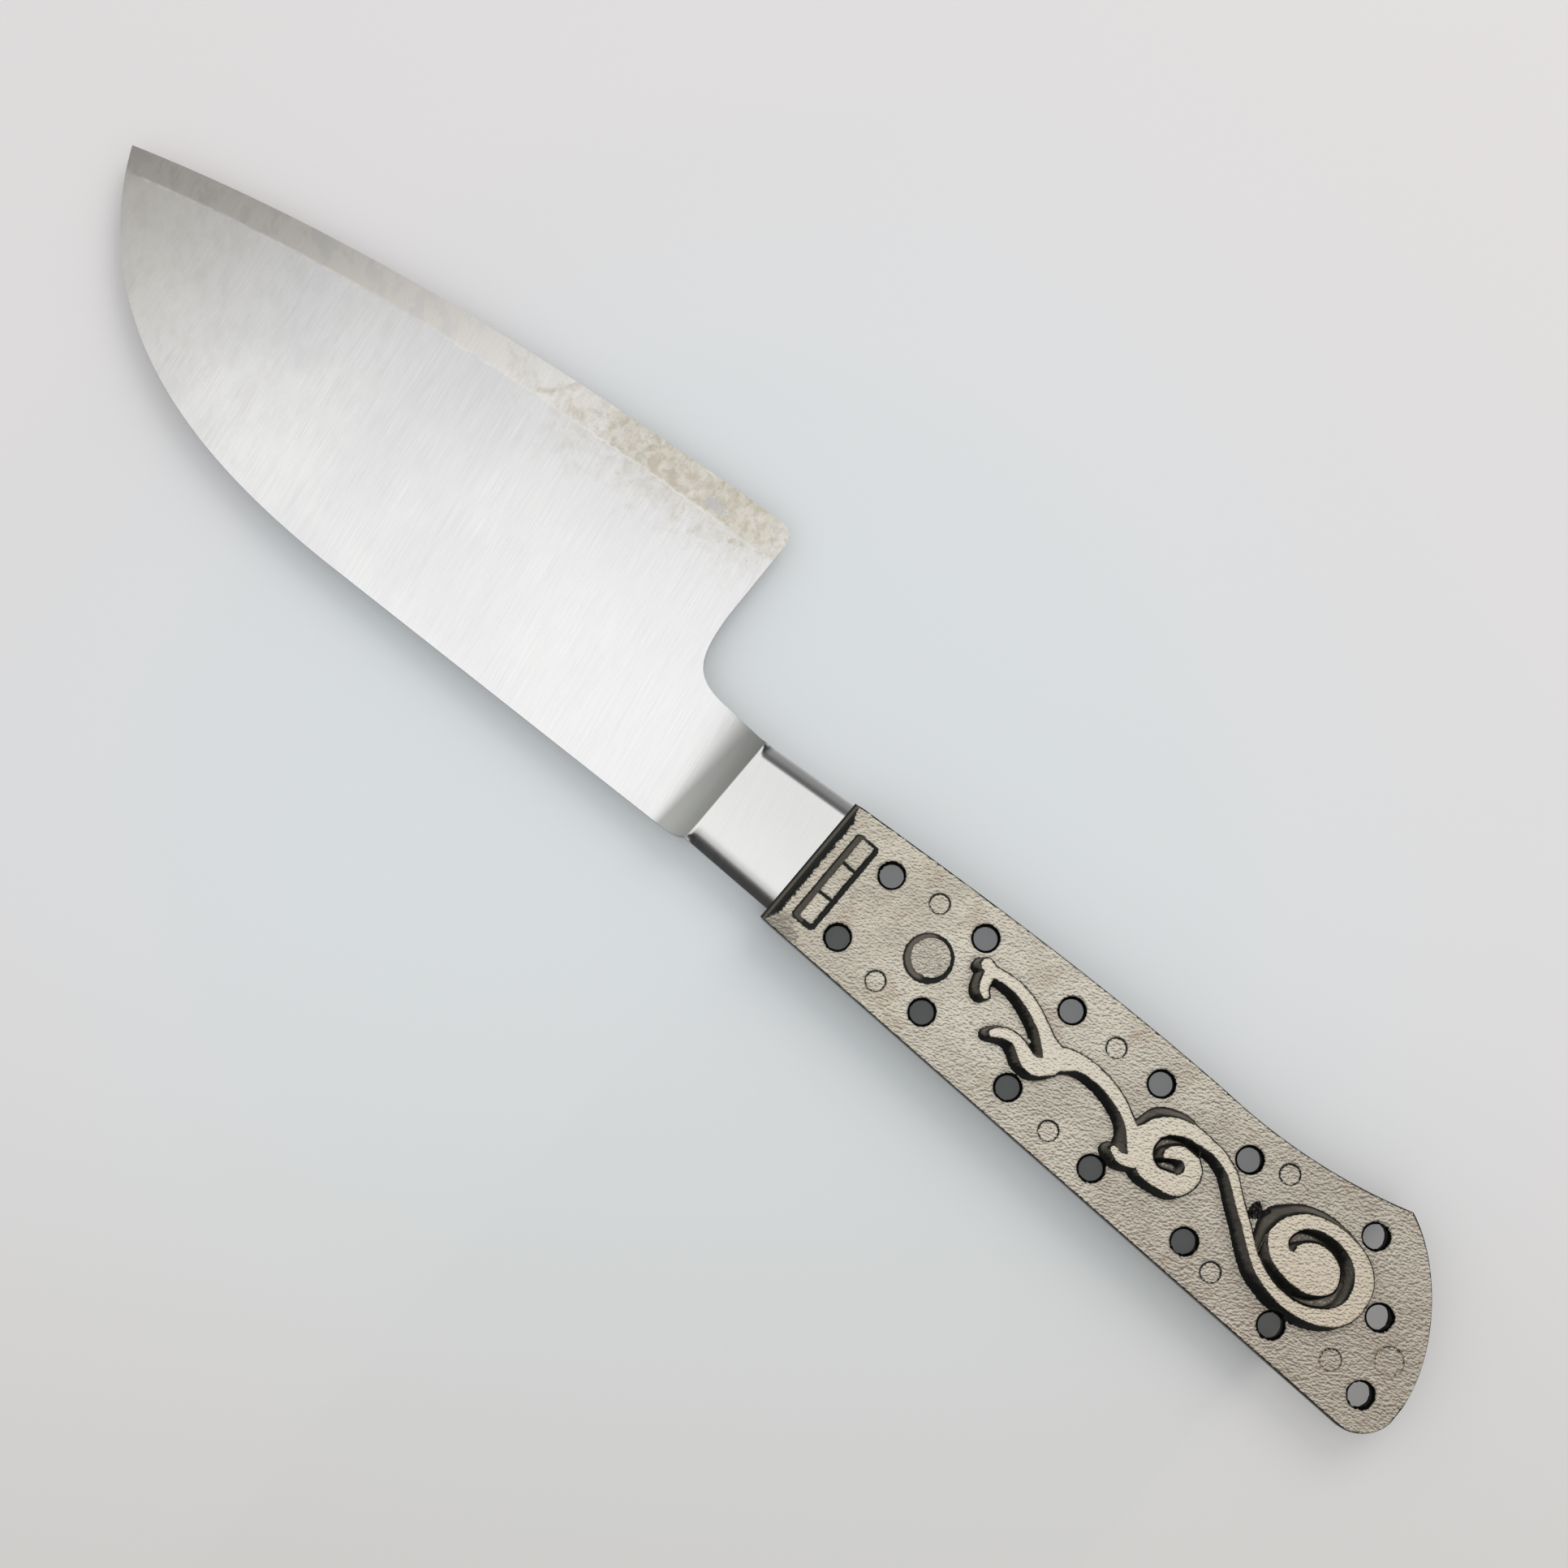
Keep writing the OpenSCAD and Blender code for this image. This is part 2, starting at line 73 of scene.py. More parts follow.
def fairRing(knots, steps):
    # the same for a closed line
    k = np.asarray(knots, float)
    return smoothSpans(np.roll(k, 1, 0), k, np.roll(k, -1, 0), np.roll(k, -2, 0), steps)


def smoothSpans(a, b, c, d, steps):
    # cubic spans from b to c, each leaving b along a to c and reaching c along b to d
    t = (np.arange(steps) / steps)[None, :, None]
    a, b, c, d = (v[:, None, :] for v in (a, b, c, d))
    square, cube = 2 * a - 5 * b + 4 * c - d, 3 * b - a - 3 * c + d
    line = 0.5 * (2 * b + t * (c - a) + t * t * square + t ** 3 * cube)
    return line.reshape(-1, line.shape[-1])


def smoothStep(x, low=0.0, high=1.0):
    # 0 below low, 1 above high, and an S between them
    t = np.clip((x - low) / (high - low), 0, 1)
    return t * t * (3 - 2 * t)


# Sides of the handle, as distance behind its front end and distance from the axis

fine = np.linspace(0, 1, 400)
endS = handle["length"]
swell, beak = [swellS, handle["swell"]], [beakS, handle["beak"]]
edgeLine = np.vstack([
    cubic([[0, handle["halfFront"]], [0.2 * endS, 13.3], [0.4 * endS, 14.6], swell], fine),
    cubic([swell, [swellS + 11, 13.2], [beakS - 11, 14.4], beak], fine)[1:],
])
buttLine = cubic([[beakS, -handle["beak"]], [beakS + 8.5, -14.3], [endS + 0.7, -1.8], [endS, 8.8]], fine)
cornerLine = cubic([[endS, 8.8], [endS - 0.2, 11.8], [buttS + 2.2, 14], [buttS, handle["halfButt"]]], fine)


def lowSide(s):
    # outline on the cutting-edge side at a distance behind the front end
    return np.where(
        s < beakS, -np.interp(s, edgeLine[:, 0], edgeLine[:, 1]),
        np.interp(s, np.maximum.accumulate(buttLine[:, 0]), buttLine[:, 1]))


def highSide(s):
    # outline on the spine side: straight up to the butt's round corner
    straight = handle["halfFront"] + (handle["halfButt"] - handle["halfFront"]) * s / buttS
    return np.where(s < buttS, straight, np.interp(s, cornerLine[::-1, 0], cornerLine[::-1, 1]))


def sideGap(s, y):
    # distance to the nearest side or to the butt
    return np.min([y - lowSide(s), highSide(s) - y, handle["length"] - s], axis=0)


# Holes and pins, at the distances and insets of the CAD model

holes = dict(
    faceRadius=2.38, throatRadius=1.88, coneDepth=0.9, tangRadius=2.15, backConeDepth=2.0,
    first=11.5, pitch=17.6, inset=5.7,
    # how far each hole wanders along its row and outwards, from the front, and the three holes at the butt
    edgeWander=[(0.2, -0.2), (0.1, 0.7), (-0.1, 0), (0, 0), (0.1, 0)],
    spineWander=[(-0.1, 0.2), (-0.2, 0.3), (-0.2, 0.3), (-0.1, 1.2), (0.2, 0.2), (0.6, 1.1)],
    butt=[(104, -11.4), (112, -2.2), (117, 8.7)],
)
pins = dict(
    radius=1.7, wideRadius=2.25, wide=("bolster_pin", "wide_butt_pin"), inset=4.5, rounding=0.1, turns=64,
    shy=0.01,  # how far a pin's end stays under the face
    # how dark the joint round each set of pins is, where it isn't 1
    dark=dict(rear_pins=0.36, bolster_pin=0.36, butt_pin=0.7, wide_butt_pin=0.55),
)


def edgeSpot(s, inset):
    # a place that is the inset away from the side at the cutting edge
    return (s, float(inset + lowSide(np.array(s))))


def spineSpot(s, inset):
    # the same from the side at the spine
    return (s, float(highSide(np.array(s)) - inset))


def station(k):
    # distance of the k-th hole behind the front end
    return holes["first"] + holes["pitch"] * k


def pinPair(k, edgeOut, spineOut):
    # a pin in each row, moved outwards by its own amount
    return [edgeSpot(station(k), pins["inset"] - edgeOut), spineSpot(station(k), pins["inset"] - spineOut)]


def pinRadius(name):
    # the two pins on the handle's middle are wide, all others are alike
    return pins["wideRadius"] if name in pins["wide"] else pins["radius"]


holeSpots = [
    spot(station(i) + back, holes["inset"] - out)
    for spot, wander in ((edgeSpot, holes["edgeWander"]), (spineSpot, holes["spineWander"]))
    for i, (back, out) in enumerate(wander)] + holes["butt"]
pinSets = dict(
    front_pins=pinPair(0.5, -0.5, 0.2), middle_pins=pinPair(2.5, -1.4, 0), rear_pins=pinPair(3.5, 0.7, 0.5),
    tail_pins=pinPair(4.35, 0.6, -0.1), butt_pin=[(110.2, 7.5)],
    bolster_pin=[(11.2, -0.3)], wide_butt_pin=[(117.2, 2)],
)


# Meshes from whole arrays

def newObject(name, data):
    # an object in the scene
    piece = bpy.data.objects.new(name, data)
    bpy.context.scene.collection.objects.link(piece)
    return piece


def addPiece(name, points, faces, smooth=True, values=None):
    # points in millimetres, faces as rows of three or four corners, values as one number a point
    mesh = bpy.data.meshes.new(name)
    mesh.from_pydata((points * mm).tolist(), [], faces.tolist())
    for label, value in (values or {}).items():
        mesh.attributes.new(label, "FLOAT", "POINT").data.foreach_set("value", value.astype(np.float32))
    mesh.polygons.foreach_set("use_smooth", np.full(len(mesh.polygons), smooth))
    mesh.update()
    return newObject(name, mesh)


def gridTriangles(z):
    # two triangles to a cell, split along the diagonal whose ends differ less in height
    k = np.arange(z.size).reshape(z.shape)
    a, b, c, d = (v.ravel() for v in (k[:-1, :-1], k[:-1, 1:], k[1:, 1:], k[1:, :-1]))
    z = z.ravel()
    flat = np.abs(z[a] - z[c]) <= np.abs(z[b] - z[d])
    first = np.where(flat[:, None], np.c_[a, b, c], np.c_[a, b, d])
    second = np.where(flat[:, None], np.c_[a, c, d], np.c_[b, c, d])
    return np.vstack([first, second])


def closedPlate(x, y, top, low, faces, capped=False):
    # a sheet and its underside, joined by a wall along every free edge; a cap takes the underside's place
    n = x.size
    loops = np.vstack([faces[:, [0, 1]], faces[:, [1, 2]], faces[:, [2, 0]]])
    key = np.sort(loops, 1) @ np.array([n, 1])
    _, where, count = np.unique(key, return_index=True, return_counts=True)
    rim = loops[where[count == 1]]
    a, b = rim.T
    wall = np.vstack([np.c_[b, a, a + n], np.c_[b, a + n, b + n]])
    points = np.vstack([np.c_[x.ravel(), y.ravel(), z.ravel()] for z in (top, low)])
    faces = np.vstack([faces, wall] if capped else [faces, faces[:, ::-1] + n, wall])
    used = np.unique(faces)
    place = np.full(len(points), -1)
    place[used] = np.arange(len(used))
    return points[used], place[faces], used


def rework(piece, step):
    # runs a step on the piece's mesh and turns its faces outwards
    bm = bmesh.new()
    bm.from_mesh(piece.data)
    step(bm)
    bmesh.ops.recalc_face_normals(bm, faces=bm.faces)
    print(piece.name, len(bm.faces), "faces, open edges:", sum(e.is_boundary for e in bm.edges))
    bm.to_mesh(piece.data)
    bm.free()
    piece.data.update()
    return piece


def fillRim(bm):
    # closes the open flat side with triangles between the points of its own edge
    bmesh.ops.triangle_fill(bm, use_beauty=True, edges=[e for e in bm.edges if e.is_boundary])


def joinPoles(bm):
    # merges the points of each pole into one
    bmesh.ops.remove_doubles(bm, verts=bm.verts, dist=1e-7)
    bmesh.ops.dissolve_degenerate(bm, edges=bm.edges, dist=1e-8)


# Drawing of the relief: distances to strokes, rims and grooves

headStroke = [
    (49, -1, 3.4), (47, -2, 2.3), (45, -3.2, 1.75), (42.5, -4.4, 1.75), (40, -5.2, 1.65),
    (37.5, -5.55, 1.6), (35, -5.35, 1.5), (33.3, -5, 1.7), (32, -5.3, 1.75)]
hookStroke = [(33.2, -4.6, 1.6), (33.5, -3.2, 1.5), (34.1, -1.95, 1.3), (34.9, -1.45, 0.9)]
budStroke = [
    (49.5, 0.5, 2.8), (48, 1.95, 2.7), (46.3, 2.15, 2.4), (44.8, 1.5, 2), (43, 0.85, 1.5),
    (41.3, 1.05, 1.5), (40.2, 1.65, 1.45), (39.4, 2.3, 1.1)]
stemStroke = [
    (66.5, 1, 2.4), (65, -0.1, 1.7), (63, -1.25, 1.5), (61, -2.1, 1.7), (58, -2.85, 1.85),
    (55, -3, 2.1), (52.5, -2.65, 2.5), (50.5, -1.6, 3.4), (49.3, -0.5, 3.4)]
leafStroke = [(68.5, 3.4, 2.2), (67, 4.4, 1.7), (65.8, 4.4, 1.2), (64.9, 4.1, 0.9)]
linkStroke = [
    (72, -5.5, 2.2), (73.5, -5.7, 2), (77.5, -5.75, 1.5), (79.5, -5.25, 1.4), (81.4, -4.5, 1.35),
    (84, -2.5, 1.25), (85.5, -1.4, 1.25), (88.2, 0.5, 1.2), (90.8, 2.5, 1.2), (93.4, 4, 1.4),
    (96, 4.85, 1.4), (98.7, 5.2, 1.6)]
curlRim = [
    (69.2, 4.1), (71, 4.7), (74, 4.4), (76.5, 3.6), (77.7, 2), (78, 0), (77.4, -1.8), (76, -3),
    (75, -4.5), (74.5, -6), (72.5, -6.6), (70, -6), (68, -4.8), (66.7, -3.2), (66, -1.6), (65.5, -0.5),
    (65.4, 0.8), (66, 2.2), (67.5, 3.5)]
voluteRim = [
    (92.2, 3.2), (93.8, 4.5), (96, 5.5), (99, 6.05), (103, 5.6), (106.4, 4.2), (108.6, 1.8),
    (109.2, -1.3), (108.3, -5), (105, -7.9), (99.5, -8.8), (94.6, -7.7), (91.8, -5), (91, -2),
    (91.3, 0.2)]
curlGroove = [
    (77.5, -3.7, 1.8), (76.2, -3.9, 1.8), (74.5, -4, 1.7), (72.3, -3.6, 1.5), (70.6, -2.2, 1.9),
    (70.2, -0.6, 1.9), (71, 0.8, 1.7), (72.2, 0.95, 1.9), (73.2, 0.4, 2.2), (74.1, 0, 2.4)]
voluteGroove = [
    (89.2, -1.5, 3), (91, 0.8, 2.4), (93, 2.3, 2.2), (95.5, 3.1, 1.95), (98.7, 3.45, 1.95),
    (101.4, 3.05, 2), (103.7, 1.8, 2.1), (105, 0.1, 2.3), (105.2, -1.5, 2.4), (104.4, -3.6, 2.4),
    (102.7, -5.2, 2.2), (100.2, -5.95, 2), (97.6, -5.7, 2.1), (95.6, -4.5, 2.2), (94.8, -2.8, 1.8),
    (95.2, -1.8, 1.2)]

drawingStep = 0.1
drawS = np.arange(27, 114, drawingStep)
drawY = np.arange(-13, 11, drawingStep)
gridS, gridY = np.meshgrid(drawS, drawY, indexing="ij")
farOff = 3.0


def lineGap(s, y, run):
    # distance to a straight line that starts at zero, and the share of it that the nearest point is along
    t = np.clip((s * run[0] + y * run[1]) / (run @ run), 0, 1)
    return np.hypot(s - t * run[0], y - t * run[1]), t


def strokeField(knots):
    # distance to a line of round dabs: to the nearest point of each piece, less the half width there
    line = fair(knots, 4)
    field = np.full(gridS.shape, farOff)
    for p, q in zip(line[:-1], line[1:]):
        reach = farOff + max(p[2], q[2]) / 2
        rows = slice(*np.searchsorted(drawS, [min(p[0], q[0]) - reach, max(p[0], q[0]) + reach]))
        cols = slice(*np.searchsorted(drawY, [min(p[1], q[1]) - reach, max(p[1], q[1]) + reach]))
        gap, t = lineGap(gridS[rows, cols] - p[0], gridY[rows, cols] - p[1], q[:2] - p[:2])
        field[rows, cols] = np.minimum(field[rows, cols], gap - (p[2] + t * (q[2] - p[2])) / 2)
    return field


def rimField(knots):
    # distance to a closed line, negative inside, where a ray crosses it an odd number of times
    ring = fairRing(knots, 4)
    field = np.full(gridS.shape, farOff)
    inside = np.zeros(gridS.shape, bool)
    for p, q in zip(ring, np.roll(ring, -1, 0)):
        y, run = gridY - p[1], q - p
        field = np.minimum(field, lineGap(gridS - p[0], y, run)[0])
        if p[1] != q[1]:
            crossing = (gridY > min(p[1], q[1])) & (gridY <= max(p[1], q[1]))
            inside ^= crossing & (gridS < p[0] + run[0] * y / run[1])
    return np.where(inside, -field, field)


curlOutline, voluteOutline = rimField(curlRim), rimField(voluteRim)
outline = np.minimum(curlOutline, voluteOutline)
planField = np.minimum(
    np.maximum(curlOutline, -strokeField(curlGroove)), np.maximum(voluteOutline, -strokeField(voluteGroove)))
for knots in (headStroke, hookStroke, budStroke, stemStroke, leafStroke, linkStroke):
    planField = np.minimum(planField, strokeField(knots))
print("relief drawing:", planField.shape)


def blend(field, i, j, u, v):
    # value between four neighbours: u of the way along the first axis and v along the second
    return ((field[i, j] * (1 - u) + field[i + 1, j] * u) * (1 - v)
            + (field[i, j + 1] * (1 - u) + field[i + 1, j + 1] * u) * v)


def sample(field, s, y):
    # field read between its grid points
    i = np.clip((s - drawS[0]) / drawingStep, 0, field.shape[0] - 1.001)
    j = np.clip((y - drawY[0]) / drawingStep, 0, field.shape[1] - 1.001)
    i0, j0 = i.astype(int), j.astype(int)
    return blend(field, i0, j0, i - i0, j - j0)


relief = dict(
    height=1.05, wall=0.24, slopeX=0.95, slopeY=1.1, spread=0.42, buttSlope=1.3, sweeps=24, grain=0.022,
    sideSlope=(1.75, -0.2), sideFrom=(61, 68), wander=0.035,
    flares=[(40.6, 1.2, 2.4, 0.45), (64.8, 4, 2.0, 0.85), (89.3, -3.4, 2.2, 0.9), (66.5, -4, 1.6, 0.5)],
    # middle and radius of what is round, and middle and half sizes of the blowhole
    moat=(24.4, -0.2, 4.02), disc=(24.6, -0.5, 3.1), bead=(44.5, -0.25, 0.33), beadRise=0.55,
    blob=(87.7, -2.7, 1.5, 1.7),
    # trough and bar: middle, half width, half length, corner radius
    trough=(5.6, 0, 2.2, 8.4, 0.8), depth=1.05, bar=(5.75, -0.25, 1.2, 7.7, 0.3), barRise=0.16,
    barMiddle=2.6, barCut=0.6, cutDepth=0.45, seatDepth=0.5,
)


def scrollShare(s, y):
    # share of the scroll's height: the drawing swept down and away, so that its front and spine sides slope,
    # and the rims of the curl and the volute, which are swept a second way, slope further at the front
    share = np.zeros(s.shape)
    wide = 1 + (relief["buttSlope"] - 1) * smoothStep(s, 78, 92)
    rims = smoothStep(s, *relief["sideFrom"])
    outside = smoothStep(sample(outline, s, y), -0.1, 0.1)
    # slopes flare round the tips: centre, size and extra width of each flare
    spread = relief["spread"] + sum(
        extra * np.exp(-((s - cs) ** 2 + (y - cy) ** 2) / size ** 2)
        for cs, cy, size, extra in relief["flares"])
    for k in range(relief["sweeps"] + 1):
        down = k / relief["sweeps"]
        gap = sample(planField, s + down * relief["slopeX"] * wide, y - down * relief["slopeY"] * wide)
        share = np.maximum(share, (1 - down) * smoothStep(down * spread - gap, -relief["wall"], 0))
        back, across = relief["sideSlope"]
        rim = sample(outline, s + down * back * rims, y - down * across * rims) - down * spread
        share = np.maximum(share, (1 - down) * outside * smoothStep(-rim, -relief["wall"], 0))
    # how near the ground is to the foot of a slope, for its dirt and painted shade: 1 at the foot and 0 a
    # millimetre or two out
    halo = np.clip(1 + (spread - gap - 0.1) / (1.2 + 1.6 * smoothStep(s, 76, 86)), 0, 1) ** 1.5
    return share, halo


def roundBox(s, y, box):
    # distance to a box with round corners, negative inside
    middleS, middleY, halfS, halfY, radius = box
    p, q = np.abs(s - middleS) - halfS + radius, np.abs(y - middleY) - halfY + radius
    return np.hypot(np.maximum(p, 0), np.maximum(q, 0)) + np.minimum(np.maximum(p, q), 0) - radius


def roundGap(s, y, spot):
    # distance to a circle, negative inside
    return np.hypot(s - spot[0], y - spot[1]) - spot[2]


rng = np.random.default_rng(7)
latticeSize = 400


def lumps(s, y, size, stretch=1.0, turn=0.0):
    # smooth random heights on a lattice: whole-number points drawn once, and an S blend between them
    lattice = rng.uniform(-1, 1, (latticeSize, latticeSize))
    c, d = math.cos(turn), math.sin(turn)
    u = (s * c + y * d) / (size * stretch) + 60
    v = (-s * d + y * c) / size + 120
    i, j = np.floor(u).astype(int), np.floor(v).astype(int)
    f, g = smoothStep(u - i), smoothStep(v - j)
    return blend(lattice, i % (latticeSize - 1), j % (latticeSize - 1), f, g)


def snap(s, y, spots, radius, reach):
    # points close to a circle are moved on to it
    for cs, cy in spots:
        away = np.hypot(s - cs, y - cy)
        near = np.abs(away - radius) < reach
        scale = np.where(near, radius / np.maximum(away, 1e-6), 1)
        s, y = cs + (s - cs) * scale, cy + (y - cy) * scale
    return s, y


def holeAway(s, y):
    # distance to the middle of the nearest hole
    return np.min([np.hypot(s - cs, y - cy) for cs, cy in holeSpots], axis=0)


def coneShare(s, y, throat):
    # how far down a hole's cone the wall is: 0 at the face, 1 at the throat
    return np.clip((holes["faceRadius"] - holeAway(s, y)) / (holes["faceRadius"] - throat), 0, 1)


def frontBevel(s):
    # 1 at the front end, falling evenly to 0 where the bevel ends
    return np.clip(1 - s / handle["bevelLength"], 0, 1)


# limits of the scroll's band, the least share beside it, widths of the three bands, last rows before the end
grid = dict(band=(-9.6, 7.2), beside=0.12, widths=(7, 17, 7), lastRows=(0.32, 0.2, 0.1, 0.04, 0.01))


def scaleGrid(rowStarts, colStep):
    # rows across the handle from side to side, and columns along it, closer together under the scroll
    s = np.concatenate([np.arange(a, b, step) for a, b, step in rowStarts])
    s = np.r_[s, handle["length"] - np.array(grid["lastRows"])]
    low, high = lowSide(s), highSide(s)
    innerLow = np.maximum(grid["band"][0], low + grid["beside"] * (high - low))
    innerHigh = np.minimum(grid["band"][1], high - grid["beside"] * (high - low))
    counts = [int(width / step) for width, step in zip(grid["widths"], (*colStep, colStep[0]))]
    t = [np.linspace(0, 1, n + 1)[:-1] for n in counts]
    spans = [(low, innerLow), (innerLow, innerHigh), (innerHigh, high)]
    y = np.hstack([a[:, None] + (b - a)[:, None] * v[None] for (a, b), v in zip(spans, t)] + [high[:, None]])
    return np.repeat(s[:, None], y.shape[1], 1), y


def snappedGrid(rowStarts, colStep, radii, reach):
    # the grid with points on the holes' circles, and its outline where it was
    s, y = start = scaleGrid(rowStarts, colStep)
    for radius in radii:
        s, y = snap(s, y, holeSpots, radius, reach)
    edge = np.zeros(s.shape, bool)
    edge[[0, -1]] = True
    edge[:, [0, -1]] = True
    return [np.where(edge, old, new) for old, new in zip(start, (s, y))]


def plateFaces(s, y, z, bore):
    # the grid's triangles that lie outside the holes
    triangles = gridTriangles(z)
    keep = (holeAway(s, y) >= bore - 1e-4).ravel()
    return triangles[keep[triangles].all(1)]


def castPlate(name, s, y, z, flatZ, faces, shades, farShades):
    # a plate from its drawn sheet to its flat side, where the walls take the far shades
    points, faces, used = closedPlate(handle["frontX"] - s, y, z, np.full(s.shape, flatZ), faces, True)
    values = {
        label: np.r_[shade.ravel(), np.full(shade.size, far)][used]
        for (label, shade), far in zip(shades.items(), farShades)}
    return rework(addPiece(name, points, faces, True, values), fillRim)


# Front scale: the scroll, what is sunk beside it, the seats of the pins, and the patina

def scrollParts(s, y, ws, wy):
    # the scroll's share of height, its grooves, and how brown its slopes are by the way they face the light,
    # which is painted light and shade
    share, halo = scrollShare(ws, wy)
    plan = sample(planField, ws, wy)
    groove = smoothStep(plan, 0, 0.15) * smoothStep(-sample(outline, ws, wy), 0, 0.3)
    # how much a slope turns to the front and away from the spine
    steepS = np.gradient(share, axis=0) / np.maximum(np.gradient(s, axis=0), 0.02)
    steepY = np.gradient(share, axis=1) / np.maximum(np.gradient(y, axis=1), 0.02)
    facing = (0.85 * steepS + 0.5 * steepY) / np.maximum(np.hypot(steepS, steepY), 1e-3)
    return SimpleNamespace(
        share=share, halo=halo, plan=plan, groove=groove, foot=smoothStep(-plan, -0.42, -0.2),
        # the floor of a groove is browner away from its walls
        floor=groove * smoothStep(plan, 0.3, 0.55) * smoothStep(share, 0.3, 0.05),
        slopeLitByFacing=0.24 + 0.76 * smoothStep(facing, -0.5, 0.7))


def sunkenParts(ws, wy):
    # trough with its bar, and moat with its disc
    trough, bar = roundBox(ws, wy, relief["trough"]), roundBox(ws, wy, relief["bar"])
    # two cuts, one on each side of the bar's middle piece
    fromMiddle, halfCut = np.abs(wy - relief["bar"][1]), relief["barCut"] / 2
    cut = np.abs(fromMiddle - relief["barMiddle"] - halfCut) - halfCut
    cut = smoothStep(-cut, -0.06, 0.1) * smoothStep(-bar, -0.1, 0)
    moat, disc = roundGap(ws, wy, relief["moat"]), roundGap(ws, wy, relief["disc"])
    pit, boss = np.minimum(trough, moat), np.minimum(bar, disc)
    # the floor falls evenly from the edge of the bar or the disc to the rim
    within = smoothStep(-pit, -0.12, 0.08)
    fall = np.clip(boss / np.maximum(boss - pit, 0.2), 0, 1) * within
    raised = smoothStep(-boss, -0.1, 0.08)
    # brown along the walls, more of it in the trough's front half; the moat is brown on its front side and
    # black behind, painted light and shade on its walls
    ring = within * (1 - fall) * (1 - cut)
    turn = (relief["moat"][0] - ws + 0.3 * (wy - relief["moat"][1])) / relief["moat"][2]
    ring = np.where(
        trough < 0.2, np.minimum(ring, np.where(ws < relief["trough"][0], 0.3, 0.1)),
        np.minimum(ring, 0.5) * smoothStep(turn, -0.45, 0.35))
    return SimpleNamespace(
        cut=cut, pit=pit, disc=disc, fall=fall, raised=raised, ring=ring,
        floor=np.maximum(within * (1 - raised), cut))


def pinSeats(s, y):
    # 1 in the seat of each pin, which is a little narrower than the pin where its joint is faint
    seat = np.zeros(s.shape)
    for name, spots in pinSets.items():
        reach = pinRadius(name) + 0.05 - 0.2 * (pins["dark"].get(name, 1) < 0.5)
        for cs, cy in spots:
            seat = np.maximum(seat, smoothStep(reach - np.hypot(s - cs, y - cy), 0, 0.2))
    return seat


def frontShades(s, y, scroll, sunken, blob, bead):
    share, side = scroll.share, sideGap(s, y)
    # patina is full on slopes, walls and floors, and there is none on the tops and the ground
    slope = smoothStep(share, 0.02, 0.10) * (1 - smoothStep(share, 0.93, 0.985))
    slope = np.maximum(slope, scroll.foot * (1 - smoothStep(share, 0.9, 0.985)))
    # the dark band behind the front bevel narrows towards both sides
    frontBand = smoothStep(s + 0.12 * lumps(s, y, 0.9) + 0.95 * smoothStep(side, 3.2, 0.6), 2.6, 1.35)
    sideLine = smoothStep(side + 0.08 * lumps(s, y, 0.6), 0.24, 0.08)
    thinner = scroll.groove * (1 - 0.45 * smoothStep(scroll.plan, 0.6, 0.8) * smoothStep(share, 0.3, 0.05))
    bores = smoothStep(coneShare(s, y, holes["throatRadius"]), 0.0, 0.2)
    patina = np.max([slope, sunken.floor, frontBand, sideLine, 0.75 * blob, thinner, bores], axis=0)
    # cream is 1 on polished tops, and below 0 where the ground is darker: with dirt and painted shade at the
    # foot of slopes, round the trough and the moat, on the disc and in the front corner
    cream = np.max([smoothStep(share, 0.93, 0.99), sunken.raised * 0.25, bead], axis=0)
    cream = cream - scroll.halo * (1 - smoothStep(share, 0, 0.1)) - 0.3 * smoothStep(sunken.pit, 0.7, 0.0)
    cream = cream - 0.55 * smoothStep(-sunken.disc, -0.1, 0.3)
    # dirt in the front corner on the spine side
    corner = np.hypot((s - 2.8) / 5.6, (y - highSide(s)) / 4.6)
    cream = cream - 1.5 * smoothStep(corner + 0.2 * lumps(s, y, 0.8), 1.0, 0.2)
    # brown shows where the level is near a half: on slopes that face the light, as painted light, while
    # slopes facing away stay black in painted shade; round the bar and the disc; on the front bevel
    strip = 0.33 * smoothStep(s, 0.15, 0.4) * smoothStep(s, 1.1, 0.7)
    level = np.max([share * scroll.slopeLitByFacing * (1 - blob), sunken.ring, strip], axis=0)
    level = level + (0.5 - level) * scroll.floor
    return dict(patina=patina * (1 - bead), cream=cream, slope=level)


